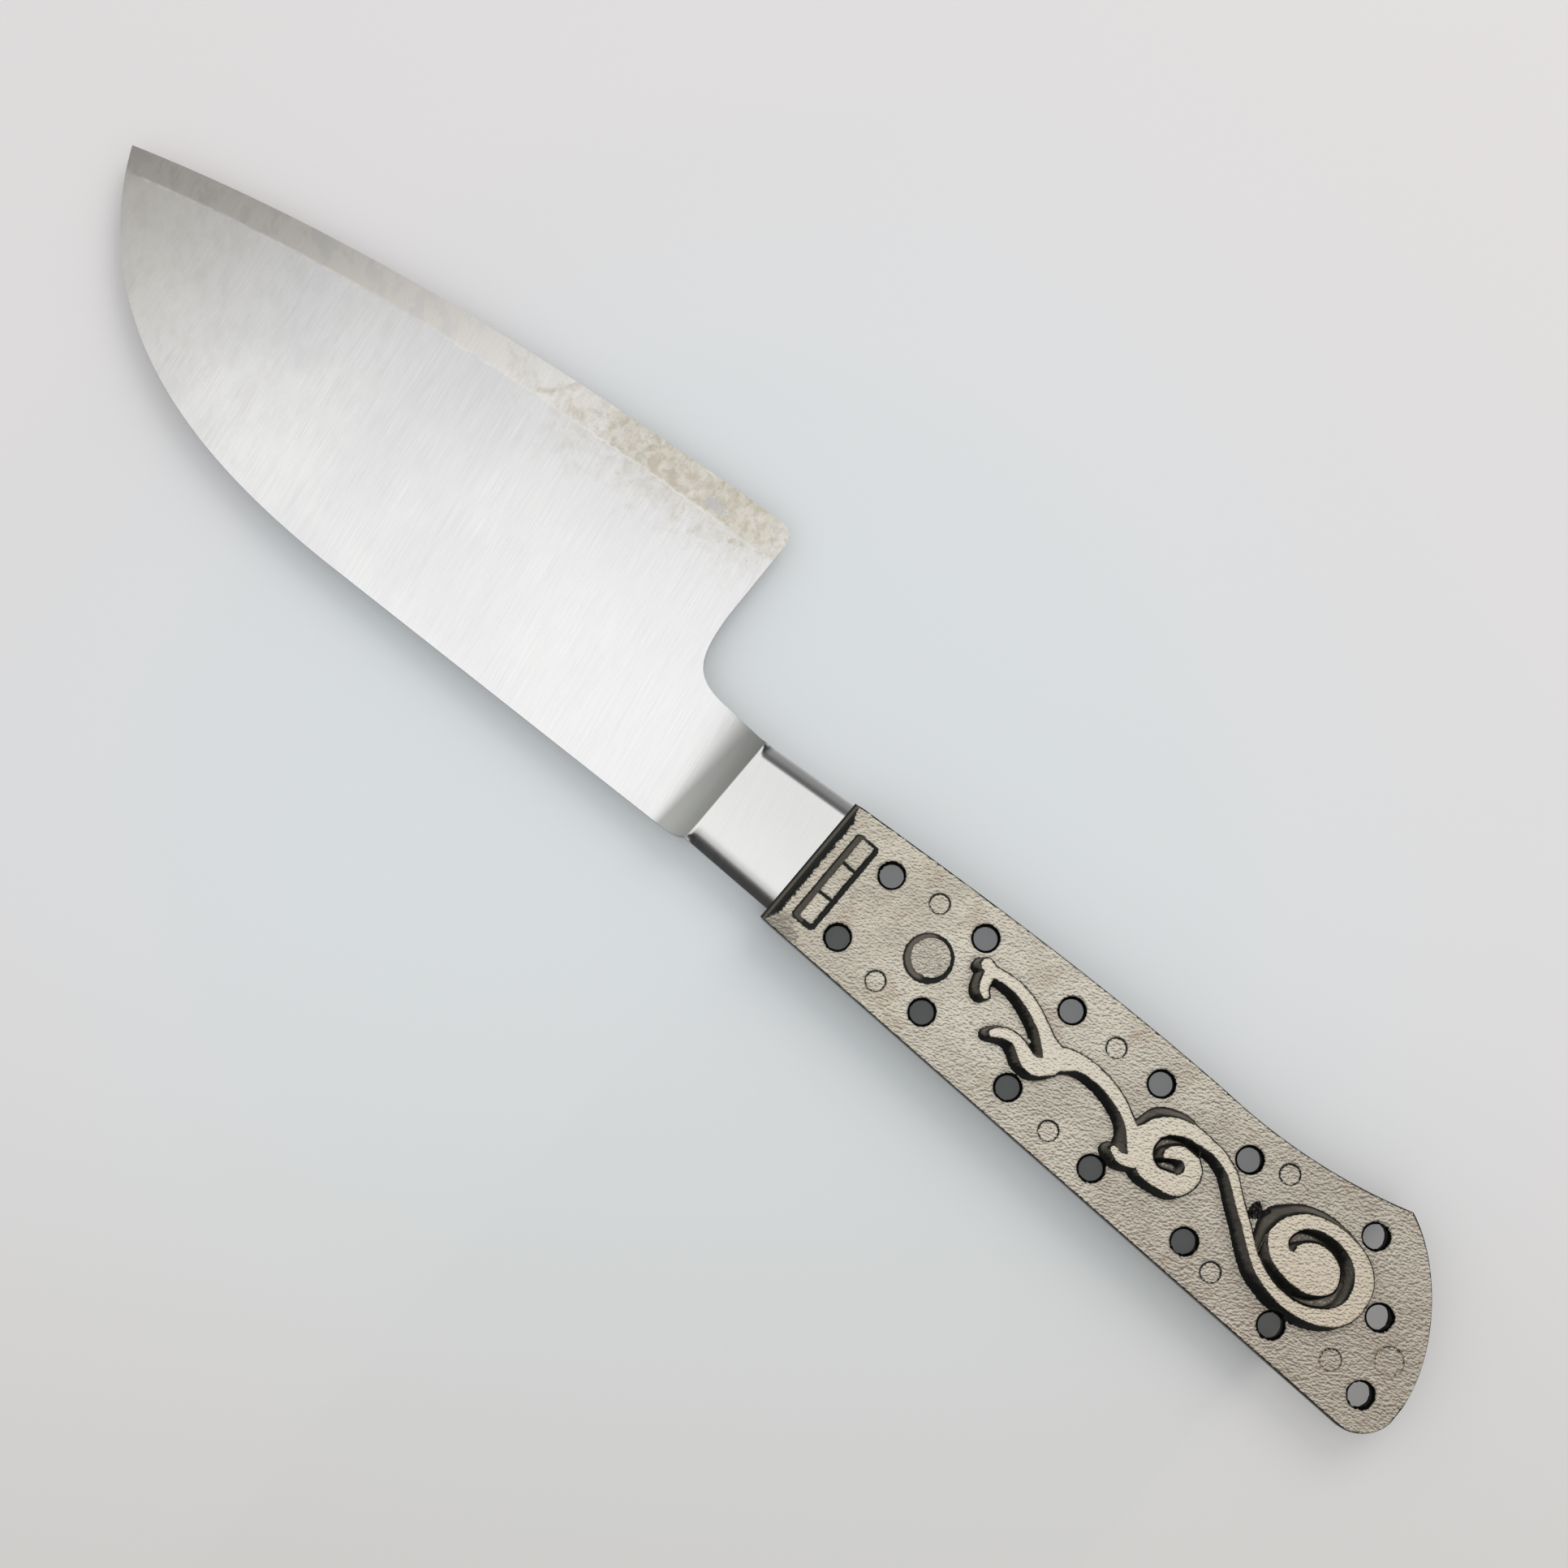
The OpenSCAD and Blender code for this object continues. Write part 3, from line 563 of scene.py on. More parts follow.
def buildFrontScale():
    # height of the face: its ground and the scroll's share above it, then each mark after the other
    s, y = snappedGrid(
        [(0, 3, 0.12), (3, 30, 0.25), (30, 111.5, 0.17), (111.5, 122.6, 0.28)], (0.35, 0.175),
        (holes["faceRadius"], holes["throatRadius"]), 0.1)
    # the drawing's edges wander a little, as cast ones do
    grain = 0.6 * lumps(s, y, 0.45, 2.1, -0.32) + 0.4 * lumps(s, y, 0.26, 1.7, -0.32)
    ws, wy = s + relief["wander"] * lumps(s, y, 0.6), y + relief["wander"] * lumps(s, y, 0.6)
    scroll, sunken = scrollParts(s, y, ws, wy), sunkenParts(ws, wy)
    ground = handle["faceZ"] - handle["skin"]
    z = ground + relief["grain"] * grain + relief["height"] * scroll.share
    z = z - relief["depth"] * sunken.fall + relief["barRise"] * sunken.raised
    z = z - relief["cutDepth"] * sunken.cut
    # a bead caught in the crotch of the drawing; whatever is lower than the face is lifted up to it here, so
    # the ground, the trough, the moat and the cuts lie flat, and they look sunk by their patina only
    bead = smoothStep(-roundGap(s, y, relief["bead"]), -0.1, 0.12)
    z = np.maximum(z, handle["faceZ"] + relief["beadRise"] * bead)
    # a rough blowhole beside the volute
    cs, cy, halfS, halfY = relief["blob"]
    blob = 1.0 - np.hypot((s - cs) / halfS, (y - cy) / halfY) + 0.5 * lumps(s, y, 0.75)
    blob = smoothStep(blob, -0.3, 0.35) * (1 - smoothStep(scroll.share, 0.75, 0.95))
    z = z - blob * (0.25 + 0.2 * lumps(s, y, 0.8))
    # bevel across the front end, cones of the holes, and seats of the pins
    z = z - handle["bevelDrop"] * frontBevel(s)
    down = coneShare(s, y, holes["throatRadius"])
    z = np.where(down > 0, np.minimum(z, ground - holes["coneDepth"] * down), z)
    z = z - relief["seatDepth"] * pinSeats(s, y)
    faces = plateFaces(s, y, z, holes["throatRadius"])[:, ::-1]
    shades = frontShades(s, y, scroll, sunken, blob, bead)
    return castPlate("frontScaleCast", s, y, z, handle["tangTop"], faces, shades, (1.0, 0.0, 0.0))


frontScale = buildFrontScale()


# Back scale and tang

def buildBackScale():
    # the plain plate: its skin, its front bevel and the cones of its holes
    s, y = snappedGrid([(0, 122.6, 0.25)], (0.4, 0.25), (holes["faceRadius"], holes["tangRadius"]), 0.1)
    down, bevel = coneShare(s, y, holes["tangRadius"]), frontBevel(s)
    halfSkin = handle["skin"] / 2
    z = halfSkin + halfSkin * np.abs(lumps(s, y, 0.8, 1.9, 2.5)) + handle["bevelDrop"] * bevel
    z = np.where(down > 0, handle["skin"] + holes["backConeDepth"] * down, z)
    sideLine = smoothStep(sideGap(s, y), 0.3, 0.1)
    patina = np.max([smoothStep(bevel, 0, 0.15), smoothStep(down, 0, 0.25), sideLine], axis=0)
    shades = dict(patina=patina, cream=0 * patina, slope=0 * patina)
    faces = plateFaces(s, y, z, holes["tangRadius"])
    return castPlate("backScaleCast", s, y, z, handle["tangLow"], faces, shades, (1.0, 1.0, 1.0))


backScale = buildBackScale()


def buildTang():
    # an even plate between the scales, with the same outline and straight bores
    s, y = snappedGrid([(0.02, 122.6, 0.5)], (0.55, 0.5), (holes["tangRadius"],), 0.25)
    top, low = np.full(s.shape, handle["tangTop"]), np.full(s.shape, handle["tangLow"])
    faces = plateFaces(s, y, top, holes["tangRadius"])[:, ::-1]
    points, faces, used = closedPlate(handle["frontX"] - s, y, top, low, faces)
    return addPiece("tangPlate", points, faces, False)


tangPlate = buildTang()
print("tang:", len(tangPlate.data.polygons), "faces")


# Pins: a turned profile from the low end to the face, with a small round at each end

def buildPins(name, spots):
    # the same ring of points at each step of the profile, for each pin of the set
    radius, rounding, turns = pinRadius(name), pins["rounding"], pins["turns"]
    face = handle["faceZ"] - pins["shy"]
    a = np.linspace(0, math.pi / 2, 6)
    capR = np.r_[0.0, 0.35 * radius, 0.7 * radius, radius - rounding + rounding * np.sin(a)]
    capZ = np.r_[face, face, face, face - rounding * (1 - np.cos(a))]
    r, z = np.r_[capR, capR[::-1]], np.r_[capZ, (handle["faceZ"] - capZ)[::-1]]
    angle = np.arange(turns) * 2 * math.pi / turns
    # dirt in the joint round the pin, made thickest on the cutting-edge side by painted shade
    joint = np.where(r > radius - 1.5 * rounding, pins["dark"].get(name, 1.0), 0.0)[:, None]
    joint = (joint * (0.78 + 0.22 * np.cos(angle + 1.3))).ravel()
    k = np.arange(len(r) * turns).reshape(len(r), turns)
    quads = np.stack([k[:-1], k[1:], np.roll(k[1:], -1, 1), np.roll(k[:-1], -1, 1)], -1).reshape(-1, 4)
    across, along = r[:, None] * np.cos(angle), r[:, None] * np.sin(angle)
    points = np.vstack([
        np.c_[(handle["frontX"] - cs + across).ravel(), (cy + along).ravel(), np.repeat(z, turns)]
        for cs, cy in spots])
    faces = np.vstack([quads + i * k.size for i in range(len(spots))])
    shade = np.tile(joint, len(spots))
    shades = dict(patina=shade, cream=0 * shade, slope=0 * shade)
    return rework(addPiece(name + "Turned", points, faces, True, shades), joinPoles)


pinPieces = {name: buildPins(name, spots) for name, spots in pinSets.items()}
print("pins:", len(pinPieces), "sets")


# Blade and neck: rows from the cutting edge's outline to the spine's, thickness from the grind

blade = dict(
    length=161.5, heelX=35.5, heelDrop=39.2, heelRadius=2.8, tipDrop=19.3, spineRise=12.8, midZ=3.3,
    spineThick=2.4, tipThick=1.5, taperFrom=24, grindPower=1.5, sharpAngle=35,
    shoulderThick=0.7, heelShoulderThick=0.4, shoulderFrom=(60, 150), edgeThick=0.12,
    bevelHeel=6, bevelTip=4.6,
    # the neck, a little of which lies between the scales, and the ramp on its edge side and its spine side
    neckLength=17, neckLap=2, neckThick=4.6, neckRound=(2.7, 3.3), neckDrop=0.38, neckFade=0.9,
    rampEven=(3.2, 4.9), rampLength=(11.6, 8.2), rampEnd=25.5,
    spineCut=46,  # where the rows that start at the heel's corner end on the spine
)
tip = np.array([blade["length"], -blade["tipDrop"]])
heelEnd = np.array([blade["heelX"] + blade["heelRadius"], -blade["heelDrop"]])
edgeCurve = cubic([tip, tip + [-39.5, -12.4], heelEnd + [42, 2.8], heelEnd], np.linspace(0, 1, 600))


def edgeY(x):
    # height of the cutting edge, read between the points of its curve
    return np.interp(x, edgeCurve[::-1, 0], edgeCurve[::-1, 1])


def tipShare(x):
    # 0 on the neck's side and 1 at the tip, along a straight line
    return np.clip((x - blade["taperFrom"]) / (blade["length"] - blade["taperFrom"]), 0, 1)


def bevelWide(x):
    # width of the edge bevel, changing evenly from the heel's to the tip's
    return blade["bevelHeel"] + (blade["bevelTip"] - blade["bevelHeel"]) * tipShare(x)


def edgeRise(x, y):
    # distance above the cutting edge in bevel widths, so that the bevel's shoulder is at 1
    return (y - edgeY(x)) / bevelWide(x)


def bladeHalf(x, y):
    # half thickness: a grind from spine to bevel, the bevel, and a hollow ramp up to the neck
    spineHalf = (blade["spineThick"] + (blade["tipThick"] - blade["spineThick"]) * tipShare(x)) / 2
    shoulder = edgeY(x) + bevelWide(x)
    fall = np.clip((blade["spineRise"] - y) / (blade["spineRise"] - shoulder), 0, 1)
    shoulderHalf = (blade["heelShoulderThick"] + (blade["shoulderThick"] - blade["heelShoulderThick"])
                    * smoothStep(x, *blade["shoulderFrom"])) / 2
    half = spineHalf + (shoulderHalf - spineHalf) * fall ** blade["grindPower"]
    half = half + (blade["edgeThick"] / 2 - shoulderHalf) * np.clip(1 - edgeRise(x, y), 0, 1)
    # the ramp falls evenly at first and then flattens into the blade; it reaches further on the edge side
    across = np.clip((y + 10) / 20, 0, 1)
    even, whole = (a + (b - a) * across for a, b in (blade["rampEven"], blade["rampLength"]))
    run = np.clip(x - blade["neckLength"], 0, whole)
    flattening = (whole - run) ** 2 / ((whole - even) * (whole + even))
    ramp = np.where(run < even, 1 - 2 * run / (even + whole), flattening)
    return half + (blade["neckThick"] / 2 - half) * ramp


def neckHalf(x, y, low, high):
    # half thickness of the neck, falling away as a square towards both sides, but full where the ramp starts
    side = np.minimum((y - low) / blade["neckRound"][0], (high - y) / blade["neckRound"][1])
    full = blade["neckThick"] / 2
    neck = full * (1 - blade["neckDrop"] * (1 - np.clip(side, 0, 1)) ** 2)
    return neck + (full - neck) * smoothStep(x, blade["neckLength"] - blade["neckFade"], blade["neckLength"])


def resample(line, count):
    # the same line with points at even distances along it
    run = np.r_[0, np.cumsum(np.hypot(*np.diff(line, axis=0).T))]
    t = np.linspace(0, run[-1], count)
    return np.c_[np.interp(t, run, line[:, 0]), np.interp(t, run, line[:, 1])]


def bladeOutline():
    # lower and upper outline in four runs: neck, ramp, choil with heel corner, cutting edge
    neckEnd, rampEnd, lap = blade["neckLength"], blade["rampEnd"], blade["neckLap"]
    neckLow = np.array([[-lap, -11.43], [neckEnd, -10.07]])
    rampLow = np.array([neckLow[1], [18.2, -10], [rampEnd, -10.5]])
    choil = cubic([rampLow[2], [33, -10.7], [34.4, -13.5], [35.1, -22]], np.linspace(0, 1, 60))
    a = np.radians(np.linspace(180, 270, 24))
    corner = heelEnd + [0, blade["heelRadius"]] + blade["heelRadius"] * np.c_[np.cos(a), np.sin(a)]
    neckHigh = np.array([[-lap, 10], [neckEnd, 9.72]])
    rampHigh = np.vstack([neckHigh[1:], cubic(
        [[17.8, 9.7], [18.4, 10.3], [19.5, 10.6], [21, 10.7]], np.linspace(0, 1, 12)), [[rampEnd, 10.84]]])
    spine = resample(np.vstack([rampHigh[-1:], cubic(
        [[91, blade["spineRise"]], [119.7, 13.3], [147.4, 7.9], tip], np.linspace(0, 1, 200))]), 1201)
    cutAt = int(np.searchsorted(spine[:, 0], blade["spineCut"]))
    # each run has its number of rows
    runs = [
        (neckLow, neckHigh, 40), (rampLow, rampHigh, 60),
        (np.vstack([choil, corner]), spine[:cutAt + 1], 110), (edgeCurve[::-1], spine[cutAt:], 300)]
    low, high = (
        np.vstack([resample(run[side], run[2])[:-1] for run in runs] + [tip[None]]) for side in (0, 1))
    # the last row stops just short of the tip, so that it keeps a little width
    low[-1], high[-1] = (0.12 * line[-2] + 0.88 * line[-1] for line in (low, high))
    return low, high


def buildBlade():
    # rows from the lower outline to the upper one, closest together beside both; half the thickness each way
    low, high = bladeOutline()
    t = np.r_[np.linspace(0, 0.2, 25)[:-1], np.linspace(0.2, 0.9, 46)[:-1], np.linspace(0.9, 1, 14)]
    x = low[:, :1] + (high[:, :1] - low[:, :1]) * t
    y = low[:, 1:] + (high[:, 1:] - low[:, 1:]) * t
    half = np.where(x < blade["neckLength"], neckHalf(x, y, low[:, 1:], high[:, 1:]), bladeHalf(x, y))
    points, faces, used = closedPlate(
        handle["frontX"] + x, y, blade["midZ"] + half, blade["midZ"] - half, gridTriangles(half))
    rise = edgeRise(x, y).ravel()
    piece = addPiece("bladeSteel", points, faces, True, dict(rise=np.r_[rise, rise][used]))
    piece.data.set_sharp_from_angle(angle=math.radians(blade["sharpAngle"]))
    return piece


bladePiece = buildBlade()
print("blade:", len(bladePiece.data.polygons), "faces")


# Shader helpers

def newMaterial(name):
    # a new material with one Principled shader, and short calls for its nodes
    material = bpy.data.materials.new(name)
    material.use_nodes = True
    web = Web(material.node_tree)
    web.nodes.clear()
    shader = web.node("BsdfPrincipled")
    web.node("OutputMaterial", Surface=shader.outputs["BSDF"])
    return material, web, shader


class Web:
    # short calls for the nodes of one tree, each of which returns the node's result

    def __init__(self, tree):
        self.nodes, self.links = tree.nodes, tree.links

    def feed(self, socket, value):
        # links a result to the socket, or sets the socket's own value
        if isinstance(value, bpy.types.NodeSocket):
            self.links.new(value, socket)
        else:
            socket.default_value = value

    def fill(self, node, **values):
        # feeds a node's sockets, which are named with _ for a space
        for key, value in values.items():
            self.feed(node.inputs[key.replace("_", " ")], value)
        return node

    def node(self, kind, **values):
        # a new node with its sockets fed
        return self.fill(self.nodes.new("ShaderNode" + kind), **values)

    def math(self, operation, *values):
        node = self.node("Math")
        node.operation = operation
        for socket, value in zip(node.inputs, values):
            self.feed(socket, value)
        return node.outputs[0]

    def times(self, a, *rest):
        # product of all of them
        for b in rest:
            a = self.math("MULTIPLY", a, b)
        return a

    def plus(self, a, *rest):
        # sum of all of them
        for b in rest:
            a = self.math("ADD", a, b)
        return a

    def along(self, x, y, way):
        # how far a place lies in a direction: the sum of its two parts, each times the direction's
        return self.plus(self.times(x, way[0]), self.times(y, way[1]))

    def length(self, x, y):
        # root of the sum of both squares
        return self.math("SQRT", self.plus(self.times(x, x), self.times(y, y)))

    def mix(self, share, a, b):
        # colour a where the share is 0 and b where it is 1
        node = self.node("Mix", Factor=share)
        node.data_type = "RGBA"
        for socket, colour in ((node.inputs[6], a), (node.inputs[7], b)):
            self.feed(socket, (*colour, 1) if isinstance(colour, tuple) else colour)
        return node.outputs[2]

    def coats(self, base, *layers):
        # colours laid over one another, each as far as its share says
        for share, colour in layers:
            base = self.mix(share, base, colour)
        return base

    def between(self, share, a, b):
        # number a where the share is 0 and b where it is 1
        node = self.node("Mix")
        for socket, value in zip((node.inputs[0], node.inputs[2], node.inputs[3]), (share, a, b)):
            self.feed(socket, value)
        return node.outputs[0]

    def noise(self, vector, scale, detail=3.0, rough=0.55, distortion=0.0):
        return self.node(
            "TexNoise", Vector=vector, Scale=scale, Detail=detail, Roughness=rough, Distortion=distortion,
        ).outputs["Fac"]

    def coords(self, scale=(1, 1, 1), turn=0.0, move=(0, 0, 0)):
        # Object coordinates in millimetres, from a place in metres, along axes turned about Z, times a scale
        node = self.node("Mapping")
        node.vector_type = "TEXTURE"
        source = self.node("TexCoord").outputs["Object"]
        self.fill(node, Vector=source, Location=move, Rotation=(0, 0, turn), Scale=[mm / v for v in scale])
        return node.outputs["Vector"]

    def parts(self, vector):
        # a vector's three numbers
        return self.node("SeparateXYZ", Vector=vector).outputs

    def attribute(self, name):
        node = self.node("Attribute")
        node.attribute_name = name
        return node.outputs["Fac"]

    def ramp(self, value, low, high, a=0.0, b=1.0):
        # an S from a to b while the value goes from low to high, and held outside
        node = self.node("MapRange", Value=value, From_Min=low, From_Max=high, To_Min=a, To_Max=b)
        node.interpolation_type = "SMOOTHSTEP"
        return node.outputs["Result"]

    def bump(self, height, distance, strength):
        return self.node("Bump", Height=height, Distance=distance, Strength=strength).outputs["Normal"]

    def place(self, group, **values):
        node = self.node("Group")
        node.node_tree = group
        return self.fill(node, **values).outputs


def newGroup(name, inputs, outputs):
    # a node group with numbers going in, which have a value of their own, and numbers coming out
    group = bpy.data.node_groups.new(name, "ShaderNodeTree")
    for label, value in inputs.items():
        socket = group.interface.new_socket(name=label, in_out="INPUT", socket_type="NodeSocketFloat")
        socket.default_value = value
    for label in outputs:
        group.interface.new_socket(name=label, in_out="OUTPUT", socket_type="NodeSocketFloat")
    web = Web(group)
    return group, web, web.nodes.new("NodeGroupInput").outputs, web.nodes.new("NodeGroupOutput")


def castGrainGroup():
    # pebbled skin of a sand casting: lumps a bit under a millimetre long, and finer pits
    group, web, given, out = newGroup(
        "castGrain", dict(LumpScale=1.5, PitScale=4.5), ("Height", "Mottle", "Speck", "Lee", "Dash"))
    lump, ahead = (
        web.noise(web.coords((0.7, 1.12, 1), 0.42, move), given["LumpScale"], 2.0, 0.5)
        for move in ((0, 0, 0), (-0.0001, 0.00012, 0)))
    pit = web.noise(web.coords(), given["PitScale"], 3.0, 0.6)
    web.fill(
        out, Height=web.plus(web.times(lump, 0.72), web.times(pit, 0.28)),
        # how much a lump rises away from the light: its height less that a little nearer to the light
        Lee=web.math("SUBTRACT", lump, ahead),
        # small dark dashes along the handle, for painted shade under the pebbles
        Dash=web.noise(web.coords((0.5, 1.8, 1), 0.1), 1.7, 1.0, 0.5),
        Mottle=web.noise(web.coords(), 0.09, 3.0, 0.6),
        Speck=web.noise(web.coords((1, 1, 1), 0.4), 2.6, 4.0, 0.7))
    return group


castGrain = castGrainGroup()


# Looks of the pieces; all colours are linear red, green and blue

# the way towards the butt on the spine side, away from the lamp: the room is dimmer that way, the table is
# warmer and darker along it in painted shade, the casting is darker and browner, and the casting's pebbles
# carry more painted shade
buttward = (-0.64, 0.77)
cast = dict(
    lumpScale=2.8, pitScale=5.0, metallic=(0.5, 0.95), roughness=(0.3, 0.4), bump=(0.0001, 0.9),
    ground=((0.72, 0.65, 0.53), (0.93, 0.85, 0.71)), brown=(0.62, 0.49, 0.36), buttwardBrown=(0.43, 0.31, 0.215),
    bright=((1.0, 0.91, 0.755), (0.97, 0.87, 0.71)), buttwardTopBrown=(0.84, 0.66, 0.46),
    footDirtAndShade=(0.22, 0.19, 0.15), speck=(0.25, 0.215, 0.17), pebbleShadeDash=(0.13, 0.11, 0.085),
    paintedLumpShading=(0.17, 0.14, 0.105), paintedLumpHighlight=(1.0, 0.96, 0.88),
    black=(0.032, 0.034, 0.031), slopeBrown=(0.205, 0.18, 0.15),
)


def castGround(web, grain, lean, cream):
    # the casting without its patina: mottled, speckled, and darker and browner towards the butt
    speck = grain["Speck"]
    tint = web.noise(web.coords((1, 1, 1), 1.0), 0.16, 4.0, 0.65)
    bright = web.coats(
        web.mix(web.ramp(speck, 0.42, 0.66), *cast["bright"]),
        (web.ramp(lean, -10, 40, 0.0, 0.6), cast["buttwardTopBrown"]))
    speckled = web.plus(cream, web.ramp(speck, 0.35, 0.65, 0.25, -0.25))
    bare = web.ramp(cream, 0.2, 1, 1.0, 0.5)
    pebbleShadeDash = web.times(web.ramp(grain["Dash"], 0.66, 0.74), web.ramp(lean, -45, 30, 0.4, 0.75), bare)
    paintedLumpShading = web.times(grain["Lee"], web.ramp(lean, -35, 30, 0.75, 1.5), bare)
    return web.coats(
        web.mix(web.ramp(grain["Mottle"], 0.36, 0.66), *cast["ground"]),
        (web.ramp(tint, 0.52, 0.70, 0.0, 0.65), cast["brown"]),
        (web.ramp(lean, -20, 46, 0.0, 0.5), cast["buttwardBrown"]),
        # dirt and painted shade darken the ground near the foot of each slope
        (web.ramp(speckled, -0.1, -1.1, 0.0, 0.75), cast["footDirtAndShade"]),
        (web.ramp(cream, 0, 1), bright),
        (web.ramp(speck, 0.66, 0.76, 0.0, 0.4), cast["speck"]),
        # painted shade under the pebbles: small dark dashes, stronger towards the butt on the spine side
        (pebbleShadeDash, cast["pebbleShadeDash"]),
        # painted shade on the side of each lump away from the light, and a painted highlight on its other
        # side
        (web.ramp(paintedLumpShading, 0.01, -0.13, 0.0, 0.75), cast["paintedLumpShading"]),
        (web.ramp(paintedLumpShading, 0.02, 0.13, 0.0, 0.4), cast["paintedLumpHighlight"]))


def castMetal():
    # pale pebbled metal, under a dark patina where the mesh's own values say so
    material, web, shader = newMaterial("castMetal")
    grain = web.place(castGrain, LumpScale=cast["lumpScale"], PitScale=cast["pitScale"])
    patina, cream, slope = (web.attribute(n) for n in ("patina", "cream", "slope"))
    x, y, _ = web.parts(web.coords())
    ground = castGround(web, grain, web.along(x, y, buttward), cream)
    # patina is black at the foot and the lip of a slope and brown between them, and slopes that face away
    # from the light stay black as painted shade
    middle = web.times(web.ramp(slope, 0.16, 0.42), web.ramp(slope, 0.6, 0.86, 1.0, 0.0))
    dark = web.mix(middle, cast["black"], cast["slopeBrown"])
    mask = web.ramp(web.plus(patina, web.ramp(grain["Speck"], 0.3, 0.7, -0.26, 0.26)), 0.38, 0.62)
    web.fill(
        shader, Base_Color=web.mix(mask, ground, dark), Metallic=web.ramp(mask, 0, 1, *cast["metallic"]),
        Roughness=web.ramp(grain["Speck"], 0.2, 0.8, *cast["roughness"]),
        Normal=web.bump(grain["Height"], *cast["bump"]))
    return material


tang = dict(colours=((0.10, 0.10, 0.095), (0.22, 0.215, 0.20)), roughness=(0.4, 0.55), metallic=0.8)


def plainTang():
    # dull steel with streaks along the handle
    material, web, shader = newMaterial("tangSteel")
    streak = web.noise(web.coords((0.3, 6, 6)), 1.0, 3.0)
    web.fill(
        shader, Base_Color=web.mix(streak, *tang["colours"]), Metallic=tang["metallic"],
        Roughness=web.ramp(streak, 0.2, 0.8, *tang["roughness"]))
    return material


# Places along the blade are in millimetres from the middle of the handle, the tip being at 223
steel = dict(
    roughness=(0.17, 0.23), bump=(0.000002, 0.5), flat=((0.82, 0.82, 0.825), (0.885, 0.88, 0.875)),
    middle=(0.92, 0.915, 0.915), low=(0.80, 0.80, 0.805), brush=(0.5, 0.5, 0.49),
    neck=((0.745, 0.745, 0.74), (0.84, 0.835, 0.825)), ramp=(0.785, 0.795, 0.76),
    rampFootShade=(0.375, 0.39, 0.36), tarnish=(0.79, 0.755, 0.695), blotch=(0.60, 0.575, 0.53),
    score=(0.60, 0.58, 0.55), bevel=(1.0, 0.955, 0.885), shoulder=(0.94, 0.935, 0.92),
)
stain = dict(
    fade=(172, 118), above=(3.6, 0.7), flakes=((0.69, 0.655, 0.565), (0.60, 0.555, 0.46)),
    heart=(0.50, 0.425, 0.32), freckle=(0.62, 0.59, 0.52),
    spot=(109.9, -34.5), spotSize=(2.1, 1.1), spotGrey=(0.57, 0.56, 0.56),
)


def groundSteel(web, x, y, rise, wave, brush):
    # the blade without its stains
    cloud = web.noise(web.coords(), 0.05, 3.0, 0.55)
    neck = web.mix(web.ramp(y, -7, 9), *steel["neck"])
    ramp = web.ramp(x, 78.4, 78.7)
    blotch = web.ramp(web.noise(web.coords((0.9, 0.5, 1), 0.6), 0.35, 5.0, 0.65), 0.4, 0.66)
    score = web.ramp(web.noise(web.coords((7, 0.35, 1), -0.35), 1.1, 3.0, 0.6), 0.5, 0.8)
    bevel = web.times(
        web.ramp(rise, 1.04, 0.97), web.ramp(x, 90, 190, 0.0, 0.95), web.ramp(blotch, 0.2, 1, 1.0, 0.6))
    return web.coats(
        web.mix(web.ramp(cloud, 0.35, 0.65), *steel["flat"]),
        # painted reflection: the blade is lighter in its middle and darker in the rows above the bevel
        (web.ramp(x, 160, 95, 0.0, 0.7), steel["middle"]),
        (web.ramp(rise, 6, 1.5, 0.0, 0.5), steel["low"]),
        (web.ramp(brush, 0.4, 0.75, 0.0, 0.05), steel["brush"]),
        # the neck is painted a little darker for its dimmer reflection, more so on its edge side; the ramp
        # just in front of it is painted grey for the same, and darkest at its foot as painted shade
        (web.ramp(x, 92, 78, 0.0, 0.9), neck),
        (web.times(ramp, web.ramp(x, 86, 82)), steel["ramp"]),
        (web.times(ramp, web.ramp(x, 82.8, 78.3, 0.0, 0.75)), steel["rampFootShade"]),
        # the tip is tarnished a warm grey, with faint blotches and grinding marks
        (web.times(web.ramp(x, 178, 222), web.ramp(wave, 0.3, 0.7, 0.6, 1.0)), steel["tarnish"]),
        (web.times(blotch, web.ramp(x, 140, 215, 0.03, 0.24)), steel["blotch"]),
        (web.times(score, web.ramp(x, 120, 200, 0.0, 0.16)), steel["score"]),
        # the bevel is cleaner towards the tip, and painted lighter there for a brighter reflection
        (bevel, steel["bevel"]))


def greySpot(web):
    # share of the one worn grey spot: 1 inside an oval with a ragged edge
    (x, y), (halfX, halfY) = stain["spot"], stain["spotSize"]
    place = (x * mm, y * mm, blade["midZ"] * mm)
    spot = web.node("VectorMath", Vector=web.coords((1 / halfX, 1 / halfY, 0.1), 0.0, place))
    spot.operation = "LENGTH"
    ragged = web.ramp(web.noise(web.coords(), 0.9, 4.0, 0.7), 0.25, 0.75, -0.6, 0.6)
    return web.ramp(web.plus(spot.outputs["Value"], ragged), 1.0, 0.9)


